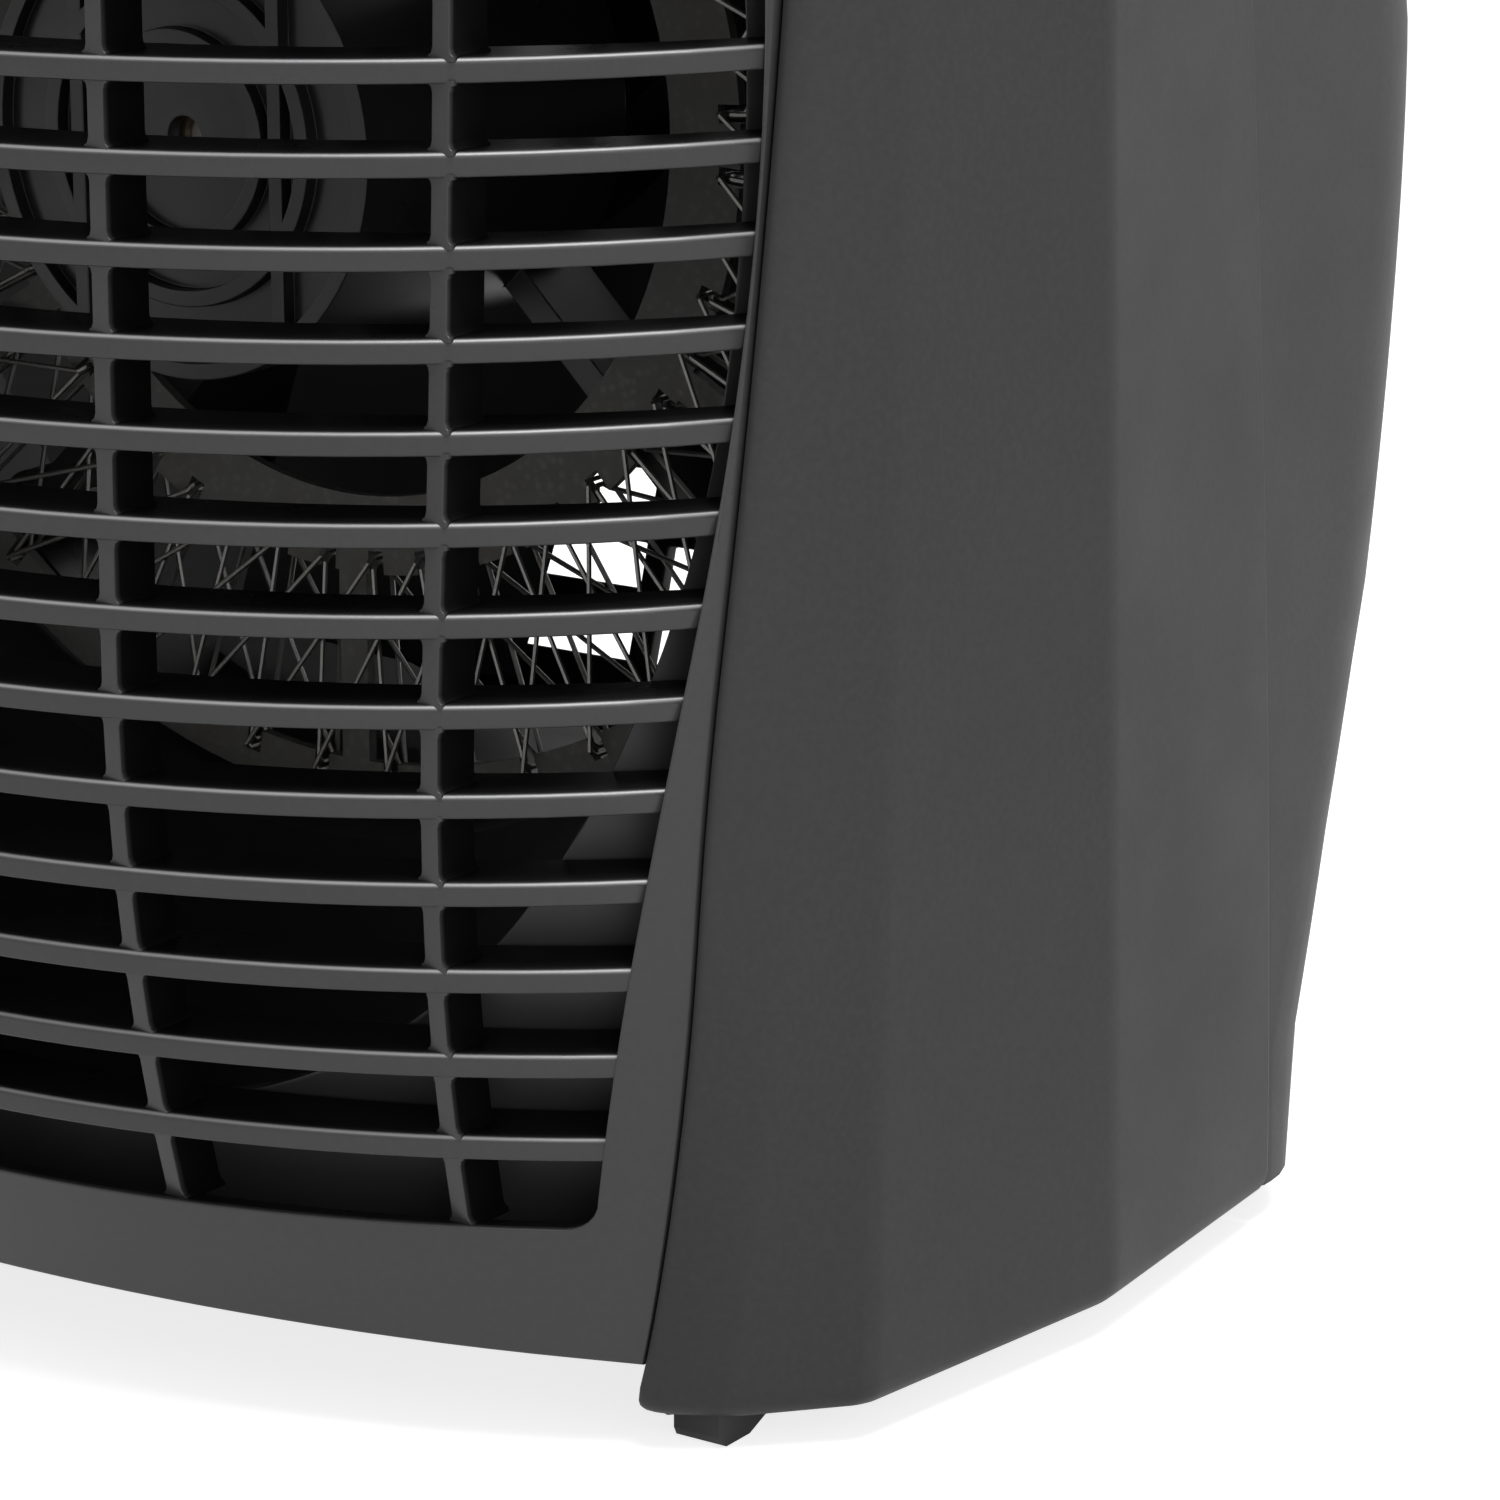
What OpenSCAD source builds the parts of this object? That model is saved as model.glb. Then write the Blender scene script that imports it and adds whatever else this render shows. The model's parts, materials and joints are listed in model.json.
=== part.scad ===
// Compact upright fan heater, in millimetres.
// +X is to the right of someone who faces the grille, -Y is the front and +Z is up.
// The origin is on the ground, under the middle of the body.
// A depth is measured back from the foremost line of the grille.

/* [Body] */
// Width over the side shells
body_w = 174; // [170:1:182]
// Depth from the grille's front to the rear cover's back
body_d = 165; // [160:1:175]
// Height of the side shells' upper edge
shell_top = 214; // [212:1:222]
// Height of the side shells' lower edge
shell_gap = 4; // [3:0.5:6]
// Joint between neighbouring covers
seam = 0.25; // [0.2:0.05:0.5]

/* [Side shells] */
// Width of a side shell, seen from the front
wing_w = 16.2; // [15:0.1:17]
// Wall of the side shells
wing_wall = 2.2; // [1.6:0.1:2.8]
// How far the shell's front edge stands out past the panel
wing_proud = 1.1; // [0.6:0.1:2]
// Radius of the rounding on the shell's front edge
wing_round = 1.9; // [1.4:0.1:2.1]
// Depth of the lip that holds the panel and the baffle
lip_d = 13; // [12.8:0.1:14]
// Inset of the first facet line from the widest line
line1_in = 5; // [4:0.5:6]
// Depth of the first facet line at its foot
line1_d = 42; // [40:1:46]
// Backward sweep of the first facet line over its height
line1_sweep = 15; // [10:1:18]
// Inward lean of the first facet line over its height
line1_lean = 5.8; // [4:0.2:7]
// Depth of the second facet line
line2_d = 77; // [74:1:82]
// Inward lean of the second facet line over its height
line2_lean = 4.7; // [3:0.1:6]
// Depth of the shell's rear edge
line3_d = 113; // [112:1:116]
// Inset of the rear edge from the widest line, at its foot
line3_in = 3; // [2:0.5:4]
// Inward lean of the rear edge over its height
line3_lean = 11.5; // [9:0.5:12]
// Inward curve of the shell's front corner at its foot
corner_in = 6.5; // [4:0.5:8]
// Height below which the front corner curves in
corner_h = 50; // [40:1:60]
// Rounding of the shell's lower edge
foot_round = 3; // [2:0.5:4]

/* [Front panel] */
// Height of the panel's lower edge
panel_bottom = 11; // [9:0.5:12]
// How much lower the panel's lower corners are than its middle
corner_drop = 3; // [1:0.5:4]
// Thickness of the panel's margin
panel_t = 2.4; // [2:0.1:3]
// How far the panel's middle leans in at its foot
toe_in = 11.5; // [8:0.5:13]
// Height below which the panel leans in
toe_h = 75; // [60:1:85]
// Bow of the panel at its foot
bow_low = 18; // [15:0.5:21]
// Bow of the panel at its top
bow_high = 49; // [46:0.5:50]
// Least width of the panel's side strip, beside the opening's middle
side_strip = 0.35; // [0.3:0.05:1.2]
// Height of the grille opening
open_h = 180; // [172:1:182]
// How much the opening's side edges draw in at its ends
open_flare = 7.5; // [5:0.1:9]
// Corner radius of the opening
open_r = 3; // [2:0.5:4]

/* [Grille] */
// Number of slats
slats = 22; // [18:1:22]
// Distance between slats
slat_pitch = 8; // [7.6:0.1:8]
// Height of the lowest slat's lower edge
slat_z0 = 28.7; // [27:0.1:30]
// Height of a slat's face
slat_h = 2.2; // [1.8:0.1:2.8]
// Depth of a slat
slat_d = 9.2; // [7:0.1:9.4]
// Step from the panel's face back to a slat's face
slat_step = 0.25; // [0.1:0.05:0.5]
// Distance between ribs
rib_pitch = 25.8; // [24:0.2:27]
// Thickness of a rib
rib_t = 1.8; // [1.4:0.1:2.4]
// Step from the panel's face back to a rib's face
rib_step = 1; // [0.8:0.1:1.5]
// Depth of a rib
rib_d = 5.5; // [4:0.1:6.5]

/* [Rear cover] */
// Wall of the rear cover
rear_wall = 2; // [1.6:0.1:2.6]
// Step from the side shell in to the rear cover's side
rear_step = 0.8; // [0.4:0.1:1.2]
// Radius of the rear cover's upright corners
rear_r = 25; // [20:1:28]
// Height at which the rear cover is deepest
rear_mid = 118; // [110:1:124]
// How much shallower the rear cover is at its foot
rear_drop = 30; // [24:1:30]
// Number of inlet slots
rear_slots = 19; // [15:2:19]
// Distance between inlet slots
rear_pitch = 8; // [7.6:0.1:8]
// Height of an inlet slot
rear_slot_h = 5; // [3.5:0.1:5.4]
// Plain strip beside the inlet slots, from the widest line
rear_strip = 41; // [39:1:45]
// Width of the bars that cross the slots
rear_bar_w = 3; // [2:0.5:4]

/* [Base and feet] */
// Height of the base plate's underside
base_z = 11; // [10:0.5:13]
// Thickness of the base plate
base_t = 2.2; // [1.8:0.1:3]
// Width of a front foot's tread
foot_w = 5; // [4:0.5:6]
// Length of a front foot's tread
foot_l = 15; // [12:0.5:18]
// Radius of a rear foot
rear_foot_r = 6; // [5:0.5:8]
// Distance of the rear feet in from the widest line
rear_foot_in = 27; // [23:1:32]
// Depth of the rear feet
rear_foot_d = 104; // [98:1:108]

/* [Top and handle] */
// Height of the deck
deck_z = 240; // [238:1:246]
// Wall of the top cover
top_wall = 2.4; // [2:0.1:3]
// Width of the handle
handle_w = 100; // [94:1:106]
// Depth of the handle
handle_d = 20; // [16:1:24]
// Thickness of the handle's bar
handle_t = 11; // [9:0.5:13]
// Height of the gap for the fingers
finger_h = 23; // [22:1:28]
// Depth of the handle's middle
handle_at = 100; // [96:1:102]
// Outer corner radius of the handle
handle_r = 14; // [12:1:16]

/* [Air path] */
// Height of the fan's axis
axis_z = 112; // [110:0.5:114]
// Distance of the baffle's opening in from the panel's side edge
oval_in = 4.8; // [4.8:0.1:8]
// Half height of the baffle's opening
oval_b = 84.5; // [78:0.5:85]
// Gap between the slats and the baffle
baffle_gap = 0.8; // [0.5:0.1:0.9]
// Thickness of the baffle
baffle_t = 2; // [1.6:0.1:2.2]
// Distance of the duct's bore in from the widest line
duct_in = 15; // [14.5:0.5:17]
// Wall of the fan duct
duct_wall = 2; // [1.6:0.1:2.4]
// Depth of the duct's front edge
duct_front = 64; // [63:0.5:65]
// Length of the duct
duct_l = 48; // [47:0.5:48.5]
// Gap between the fan's tips and the duct
tip_gap = 4; // [3:0.5:8]
// Radius of the fan's hub
hub_r = 19; // [16:0.5:21]
// Number of fan blades
blades = 5; // [3:1:7]
// Width of a fan blade
blade_w = 31; // [24:1:32]
// Thickness of a fan blade
blade_t = 1.8; // [1.4:0.1:2.4]
// Pitch angle of a fan blade
blade_pitch = 35; // [30:1:38]

/* [Motor] */
// Outer radius of the motor cup
cup_r = 23; // [22:0.5:24]
// Wall of the motor cup
cup_wall = 1.8; // [1.4:0.1:2]
// Depth of the motor cup's front
cup_front = 48; // [47:0.5:49]
// Length of the motor cup
cup_l = 40; // [39.5:0.5:41]
// Radius of the motor shaft
shaft_r = 1.6; // [1.5:0.05:2]
// Radius of the rotor
rotor_r = 10; // [9:0.1:10.2]
// Gap between rotor and poles
air_gap = 0.4; // [0.3:0.05:0.6]
// Thickness of a bracket arm
arm_t = 3; // [2.4:0.1:4]

/* [Heater] */
// Depth of the mica plate's middle
mica_at = 73; // [72:0.5:73.5]
// Thickness of the mica plate
mica_t = 1.2; // [0.8:0.1:1.4]
// Gap between the mica plate and the duct
mica_gap = 0.7; // [0.5:0.1:1.5]
// Inner radius of the mica plate
mica_hole_r = 39; // [36:0.5:41]
// Radius of the inner row of teeth
tooth_in_r = 47; // [45:0.5:50]
// Width of the mica plate's rim outside the outer row of teeth
mica_rim = 4.8; // [4.3:0.1:6]
// Length of a tooth
tooth_l = 2.4; // [2:0.1:3]
// Width of the notch between teeth
notch_w = 1.8; // [1.4:0.1:2]
// Number of notches in each row
notches = 48; // [36:12:48]
// Width of the plate's spokes
spoke_w = 3.4; // [2.4:0.1:3.6]
// Radius of the resistance wire
wire_r = 0.28; // [0.2:0.02:0.35]
// Gap between the wire and the mica
wire_gap = 0.2; // [0.15:0.05:0.3]

/* [Controls] */
// Radius of a knob
knob_r = 16; // [13:0.5:17]
// Height of a knob
knob_h = 14; // [11:0.5:16]
// Gap under a knob
knob_gap = 0.5; // [0.4:0.1:1]
// Distance of the knobs from the middle
knob_x = 30; // [26:1:32]
// Depth of the knobs
knob_at = 58; // [56:1:60]
// Radius of a spindle
spindle_r = 3; // [2.5:0.1:3.5]
// Height of the control plate's underside
plate_z = 225; // [223:0.5:226]
// Thickness of the control plate
plate_t = 1.5; // [1.2:0.1:2]
// Radius of the pilot lens
lens_r = 3.5; // [3:0.1:4]
// Depth of the pilot lens
lens_at = 36; // [34:1:38]

/* [Cord inlet] */
// Radius of the inlet's bore
inlet_r = 3.4; // [3:0.1:4]
// Wall of the inlet bush
inlet_wall = 3; // [2.5:0.1:4]
// Length of the inlet bush
inlet_l = 20; // [18:0.5:22]
// Distance of the inlet from the middle
inlet_x = 46; // [42:1:50]
// Height of the inlet
inlet_z = 30; // [28:0.5:34]

/* [Screws] */
// Radius of a screw's shank
screw_r = 1.4; // [1.2:0.1:1.6]
// Radius of a screw's head
head_r = 2.7; // [2.4:0.1:2.9]
// Height of a screw's head
head_h = 1.8; // [1.4:0.1:2]
// Radial clearance of a shank in its hole
screw_gap = 0.05; // [0.05:0.01:0.2]
// Radius of a boss
boss_r = 4.5; // [4.2:0.1:5]

/* [Hidden] */

// Two pieces that sit face to face in one casing keep this gap
seat_gap = 0.1;
// Two round pieces that turn or slide in each other keep this radial gap
run_gap = 0.05;
// Cuts run past the faces that they open by this much
past = 1;
// Solids that are one moulding reach into each other by this much
root = 1;
fine = 64;
grey = [0.24, 0.24, 0.25];
dark = [0.13, 0.13, 0.14];
metal = [0.7, 0.7, 0.72];
mica = [0.55, 0.5, 0.42];

shell_h = shell_top - shell_gap;
half_w = body_w / 2;
panel_w = body_w - 2 * wing_w;
oval_a = panel_w / 2 - oval_in;
rear_field_w = body_w - 2 * rear_strip;
rear_foot_x = half_w - rear_foot_in;
duct_r = half_w - duct_in;
fan_r = duct_r - tip_gap;
mica_r = duct_r - mica_gap;
tooth_out_r = mica_r - mica_rim;
wing_zs = concat(
    [for (t = [0, 0.15, 0.45, 1]) shell_gap + foot_round * t],
    [for (t = [0.04, 0.08, 0.12, 0.17, 0.22, 0.28, 0.34, 0.45, 0.6, 0.8, 1]) shell_gap + shell_h * t]);

function lerp(a, b, t) = a + (b - a) * t;
function clamp01(t) = min(1, max(0, t));
function depth(d) = d - body_d / 2;
function unit(v) = v / norm(v);
function flip(list) = [for (i = [len(list) - 1:-1:0]) list[i]];
function mirrored(list) = [for (p = flip(list)) [-p[0], p[1]]];
function rise(z) = (z - shell_gap) / shell_h;

// The panel's front surface: an arc in plan, whose bow grows with height
function front_line(z) =
    depth(toe_in * pow(clamp01((toe_h - z) / (toe_h - panel_bottom)), 2));
function bow(z) =
    lerp(bow_low, bow_high, 1 - pow(1 - clamp01((z - panel_bottom) / (shell_top - panel_bottom)), 2));
function edge_x(z) =
    panel_w / 2 - corner_in * pow(clamp01((corner_h - z) / (corner_h - shell_gap)), 2);
function bow_r(z) = (pow(edge_x(z), 2) + pow(bow(z), 2)) / (2 * bow(z));
function panel_y(x, z) = front_line(z) + bow_r(z) - sqrt(max(1, pow(bow_r(z), 2) - x * x));

// The upright lines of the side shells
function line1(z) =
    [half_w - line1_in - line1_lean * rise(z), depth(line1_d + line1_sweep * rise(z))];
function line2(z) = [half_w - line2_lean * rise(z), depth(line2_d)];
function line3(z) =
    [half_w - line3_in - line3_lean * pow(max(0, rise(z)), 1.5), depth(line3_d)];
function along(a, b, y) = lerp(a[0], b[0], (y - a[1]) / (b[1] - a[1]));
function wing_x(y, z) =
    y < line2(z)[1] ? along(line1(z), line2(z), y) : along(line2(z), line3(z), y);

// A path's copy, moved to its left by w, with its corners mitred
function left_of(d) = [-d[1], d[0]];
function side(p, i) = left_of(unit(p[i + 1] - p[i]));
function inset(p, w) = [for (i = [0:len(p) - 1])
    i == 0 ? p[0] + w * side(p, 0)
    : i == len(p) - 1 ? p[i] + w * side(p, i - 1)
    : p[i] + w * (side(p, i - 1) + side(p, i)) / (1 + side(p, i - 1) * side(p, i))];

// A solid through the outlines, one for each height. A hollow outline lists its end in convex parts.
module loft(outlines, heights, parts = undef) {
    n = len(outlines[0]);
    m = len(heights);
    ends = is_undef(parts) ? [[for (i = [0:n - 1]) i]] : parts;
    polyhedron(
        points = [for (j = [0:m - 1]) for (p = outlines[j]) [p[0], p[1], heights[j]]],
        faces = concat(
            ends,
            [for (e = ends) [for (i = flip(e)) (m - 1) * n + i]],
            [for (j = [0:m - 2]) for (i = [0:n - 1]) let (k = (i + 1) % n)
                [j * n + i, (j + 1) * n + i, (j + 1) * n + k]],
            [for (j = [0:m - 2]) for (i = [0:n - 1]) let (k = (i + 1) % n)
                [j * n + i, (j + 1) * n + k, j * n + k]]));
}

// A closed ring of stations, where each station is a list of points around its section
module ring_solid(stations) {
    n = len(stations);
    m = len(stations[0]);
    polyhedron(
        points = [for (s = stations) each s],
        faces = [for (i = [0:n - 1]) for (j = [0:m - 1])
            let (a = i * m + j, b = i * m + (j + 1) % m,
                 c = ((i + 1) % n) * m + (j + 1) % m, d = ((i + 1) % n) * m + j)
            each [[a, b, c], [a, c, d]]]);
}

// A plate that follows the panel's bow, between two outlines in front view
module bowed_ring(inner, outer, from, to, rows) {
    function at(x, z, y) = [x, panel_y(x, z) + y, z];
    ring_solid([for (i = [0:len(inner) - 1])
        concat(
            [for (r = [0:rows]) let (p = lerp(inner[i], outer[i], r / rows)) at(p[0], p[1], to)],
            [for (r = [rows:-1:0]) let (p = lerp(inner[i], outer[i], r / rows))
                at(p[0], p[1], from)])]);
}

// An unbroken round tube along a path
function headings(p) = [for (i = [0:len(p) - 1])
    unit(p[min(i + 1, len(p) - 1)] - p[max(i - 1, 0)])];
function uprights(t, start) = [for (i = 0, u = unit(start - (start * t[0]) * t[0]);
    i < len(t);
    i = i + 1, u = i < len(t) ? unit(u - (u * t[i]) * t[i]) : u) u];
module tube(path, r, sides, start) {
    t = headings(path);
    u = uprights(t, start);
    n = len(path);
    polyhedron(
        points = [for (i = [0:n - 1]) for (k = [0:sides - 1]) let (a = 360 * k / sides)
            path[i] + r * (cos(a) * u[i] + sin(a) * cross(t[i], u[i]))],
        faces = concat(
            [[for (k = [0:sides - 1]) k]],
            [[for (k = [sides - 1:-1:0]) (n - 1) * sides + k]],
            [for (i = [0:n - 2]) for (k = [0:sides - 1])
                let (a = i * sides + k, b = i * sides + (k + 1) % sides,
                     c = (i + 1) * sides + (k + 1) % sides, d = (i + 1) * sides + k)
                each [[a, d, c], [a, c, b]]]));
}

// A round bar along Y, from one depth to another
module bar(r, from, to) {
    translate([0, depth(from), 0]) rotate([-90, 0, 0]) cylinder(r = r, h = to - from, $fn = fine);
}
module pipe(r_out, r_in, from, to) {
    difference() {
        bar(r_out, from, to);
        bar(r_in, from - past, to + past);
    }
}
// A flat figure in front view, given thickness from one depth to another
module plate(from, to) {
    translate([0, depth(from), 0]) rotate([90, 0, 0]) mirror([0, 0, 1])
        linear_extrude(to - from) children();
}
module on_axis() { translate([0, 0, axis_z]) children(); }
// Copies around the fan's axis, at the angles of the bracket arms
module at_arms(r) {
    for (a = [45:90:315]) translate([r * cos(a), 0, axis_z + r * sin(a)]) children();
}
// A lead is a tube whose route has rounded bends
lead_r = 1;
lead_bend = 2.4;
function bends(p) = concat([p[0]],
    [for (i = [1:len(p) - 2])
        let (a = p[i] - lead_bend * unit(p[i] - p[i - 1]),
             b = p[i] + lead_bend * unit(p[i + 1] - p[i]))
        each [a, (a + 2 * p[i] + b) / 4, b]],
    [p[len(p) - 1]]);
module lead(points) { tube(bends(points), lead_r, 8, [0.3, 0.2, 0.1]); }

// The front panel's outlines in front view: the opening and the outer edge
open_low = axis_z - open_h / 2;
open_high = axis_z + open_h / 2;
function open_x(z) =
    panel_w / 2 - seam - side_strip - open_flare * pow((z - axis_z) / (open_h / 2), 2);
function margin_x(z) = edge_x(z) - seam;
end_steps = 7;
side_steps = 16;
end_low_x = open_x(open_low + open_r) - open_r;
end_high_x = open_x(open_high - open_r) - open_r;
opening = concat(
    [for (i = [-end_steps:end_steps - 1]) [end_low_x * i / end_steps, open_low]],
    [for (a = [-90:30:-30]) [end_low_x + open_r * cos(a), open_low + open_r * (1 + sin(a))]],
    [for (i = [0:side_steps]) let (z = lerp(open_low + open_r, open_high - open_r, i / side_steps))
        [open_x(z), z]],
    [for (a = [30:30:60]) [end_high_x + open_r * cos(a), open_high - open_r * (1 - sin(a))]],
    [for (i = [end_steps:-1:1 - end_steps]) [end_high_x * i / end_steps, open_high]],
    [for (a = [90:30:150]) [-end_high_x + open_r * cos(a), open_high - open_r * (1 - sin(a))]],
    [for (i = [side_steps:-1:0])
        let (z = lerp(open_low + open_r, open_high - open_r, i / side_steps)) [-open_x(z), z]],
    [for (a = [210:30:240]) [-end_low_x + open_r * cos(a), open_low + open_r * (1 + sin(a))]]);
function lower_edge(x) = panel_bottom - corner_drop * pow(2 * x / panel_w, 2);
corner_z = lower_edge(margin_x(panel_bottom));
function edge_of(p) =
    p[1] < open_low + open_r - 0.01
        ? (abs(p[0]) <= end_low_x + 0.01 ? [p[0], lower_edge(p[0])]
            : let (z = lerp(corner_z, open_low + open_r,
                clamp01((p[1] - open_low) / open_r * 2 - 0.27))) [sign(p[0]) * margin_x(z), z])
    : p[1] > open_high - open_r + 0.01
        ? (abs(p[0]) <= end_high_x + 0.01 ? [p[0], shell_top]
            : let (z = lerp(shell_top, open_high - open_r,
                clamp01((open_high - p[1]) / open_r * 2 - 0.27))) [sign(p[0]) * margin_x(z), z])
    : [sign(p[0]) * margin_x(p[1]), p[1]];

// A slat's arc starts at the panel's middle line and ends just behind the frame's face
module slat(z) {
    x = open_x(z);
    middle = front_line(z + slat_h / 2) + slat_step;
    sagitta = max(panel_y(x, z), panel_y(x, z + slat_h)) + slat_step - middle;
    r = (x * x + sagitta * sagitta) / (2 * sagitta);
    reach = min(x + 0.5, margin_x(z) - 0.1);
    translate([0, 0, z]) linear_extrude(slat_h) intersection() {
        difference() {
            translate([0, middle + r]) circle(r = r, $fn = fine);
            translate([0, middle + r + slat_d]) circle(r = r, $fn = fine);
        }
        translate([-reach, middle - past]) square([2 * reach, r + past]);
    }
}

module rib(x) {
    zs = [for (i = [0:12]) lerp(open_low - root, open_high + root, i / 12)];
    translate([x - rib_t / 2, 0, 0]) rotate([90, 0, 90]) linear_extrude(rib_t)
        polygon(concat(
            [for (z = zs) [panel_y(x, z) + rib_step, z]],
            [for (z = flip(zs)) [panel_y(x, z) + rib_step + rib_d, z]]));
}

module front_panel() {
    color(grey) union() {
        bowed_ring(opening, [for (p = opening) edge_of(p)], 0, panel_t, 1);
        for (i = [0:slats - 1]) slat(slat_z0 + i * slat_pitch);
        for (i = [-2:2]) rib(i * rib_pitch);
    }
}

// The lower edge draws in as a quarter round
function foot_inset(z) =
    foot_round - sqrt(max(0, pow(foot_round, 2) - pow(max(0, shell_gap + foot_round - z), 2)));
// One side shell's wall in plan: a lip, the rounded nose, the three facets, then the inner face
nose_turn = 32;
wing_ends = [[0, 1, 12, 13], [1, 2, 12], [2, 3, 12], [3, 4, 12], [4, 5, 12], [5, 6, 11, 12],
    [6, 7, 10, 11], [7, 8, 9, 10]];
function wing_wall_at(z) =
    let (xe = edge_x(z), ye = panel_y(xe, z), w = foot_inset(z),
         lip = [xe, ye + lip_d],
         middle = [xe + wing_round, ye + w + wing_round - wing_proud],
         nose = [for (i = [0:4]) let (a = 180 + nose_turn * i)
             middle + wing_round * [cos(a), sin(a)]],
         facets = inset([nose[4], line1(z), line2(z), line3(z)], w),
         slope = (facets[1][1] - nose[4][1]) / (facets[1][0] - nose[4][0]),
         tip = [xe, nose[4][1] - slope * (nose[4][0] - xe)],
         core = inset([lip, tip, facets[1], facets[2], facets[3]], wing_wall))
    concat([lip], nose, [facets[1], facets[2], facets[3]], flip(core));

base_screw_d = [66, 98];
function base_screw_x(d) = wing_x(depth(d), base_z) - wing_wall - boss_r + root;

module right_wing() {
    color(grey) difference() {
        union() {
            loft([for (z = wing_zs) wing_wall_at(z)], wing_zs, wing_ends);
            for (d = base_screw_d)
                translate([base_screw_x(d) - boss_r, depth(d) - boss_r, base_z + base_t + seat_gap])
                    cube([2 * boss_r, 2 * boss_r, 14]);
        }
        for (d = base_screw_d) translate([base_screw_x(d), depth(d), base_z])
            cylinder(r = screw_r + screw_gap, h = 13, $fn = fine);
    }
}
module left_wing() { mirror([1, 0, 0]) right_wing(); }

// The rear cover's outer face in plan, from its right edge round to its left edge
function back_d(z) =
    body_d - rear_drop * pow(abs(z - rear_mid) / (rear_mid - shell_gap), 1.4);
function rear_path(z, start) =
    let (x = line3(z)[0] - rear_step,
         r = min(rear_r, back_d(z) - line3_d - 2),
         right = concat([[x, depth(start)]],
            [for (a = [0:18:90]) [x - r + r * cos(a), depth(back_d(z)) - r + r * sin(a)]]))
    concat(right, mirrored(right));
rear_zs = concat([for (i = [0:5]) lerp(shell_gap, rear_mid, i / 6)],
    [for (i = [0:5]) lerp(rear_mid, shell_top, i / 5)]);
rear_open_zs = concat([shell_gap - past], [for (i = [1:10]) rear_zs[i]], [shell_top + past]);
// Distance of the rear screws in from the widest line
tower_in = 29;
tower_r = (half_w - tower_in) * sqrt(2);
tower_floor = 2.5;
tower_front = line3_d + 3;
inlet_at = back_d(inlet_z);

module rear_cover() {
    color(grey) difference() {
        loft([for (z = rear_zs) rear_path(z, line3_d + seam)], rear_zs);
        difference() {
            loft([for (z = rear_open_zs) inset(rear_path(z, line3_d - 4), rear_wall)], rear_open_zs);
            at_arms(tower_r) bar(boss_r, tower_front, body_d);
        }
        at_arms(tower_r) bar(head_r + 0.4, tower_front + tower_floor, body_d + past);
        at_arms(tower_r) bar(screw_r + screw_gap, line3_d, body_d);
        for (i = [0:rear_slots - 1]) for (s = [-1:1])
            translate([s * (rear_field_w + rear_bar_w) / 3 - rear_field_w / 6 + rear_bar_w / 3,
                depth(line3_d + 8), axis_z + (i - (rear_slots - 1) / 2) * rear_pitch - rear_slot_h / 2])
                cube([rear_field_w / 3 - rear_bar_w * 2 / 3, body_d, rear_slot_h]);
        translate([inlet_x, 0, inlet_z])
            bar(inlet_r + inlet_wall + seat_gap, inlet_at - inlet_l, inlet_at + inlet_l);
    }
}

// The base plate reaches the panel's back between the lips, and the shells' walls behind them
module base_plate() {
    z = base_z;
    lip_x = edge_x(z) - seam;
    lip_y = panel_y(edge_x(z), z) + lip_d + seam;
    wide = inset([line1(z), line2(z), line3(z)], wing_wall + seam);
    back = inset(rear_path(z, line3_d), rear_wall + rear_step + seam);
    right = concat(
        [for (i = [0:6]) [lip_x * i / 6, panel_y(lip_x * i / 6, z) + panel_t + seam]],
        [[lip_x, lip_y], [along(wide[0], wide[1], lip_y), lip_y]],
        [wide[1]],
        [[back[0][0], wide[2][1]]],
        [for (i = [1:6]) back[i]]);
    color(dark) difference() {
        translate([0, 0, z]) linear_extrude(base_t)
            polygon(concat(right, [for (p = mirrored(right)) if (p[0] < 0) p]));
        for (d = base_screw_d) for (s = [-1, 1])
            translate([s * base_screw_x(d), depth(d), z - past])
                cylinder(r = screw_r + screw_gap, h = base_t + 2 * past, $fn = fine);
        for (s = [-1, 1]) translate([s * rear_foot_x, depth(rear_foot_d), z - past])
            cylinder(r = rear_foot_r / 2 + run_gap, h = base_t + 2 * past, $fn = fine);
    }
}

// A front foot: a wedge under the shell's front corner, with a peg inside the lip
foot_x = edge_x(shell_gap) + 1.5;
foot_front = panel_y(edge_x(shell_gap), shell_gap) + 4;
module front_feet() {
    top = shell_gap - seat_gap;
    peg_foot = 1;
    peg_x = edge_x(base_z) + wing_wall + seam;
    color(dark) for (s = [0, 1]) mirror([s, 0, 0]) {
        translate([foot_x, 0, 0]) rotate([90, 0, 90]) linear_extrude(foot_w)
            polygon([[foot_front, top], [foot_front, 1.2], [foot_front + 0.4, 0.4],
                [foot_front + 1.2, 0], [foot_front + 5, 0], [foot_front + foot_l, top]]);
        translate([peg_x, foot_front + 4, peg_foot])
            cube([foot_x + foot_w - peg_x, 7, base_z - seat_gap - peg_foot]);
    }
}
module rear_feet() {
    color(dark) for (s = [-1, 1]) translate([s * rear_foot_x, depth(rear_foot_d), 0]) {
        cylinder(r = rear_foot_r, h = base_z - seat_gap, $fn = fine);
        cylinder(r = rear_foot_r / 2, h = base_z + base_t, $fn = fine);
    }
}

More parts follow.
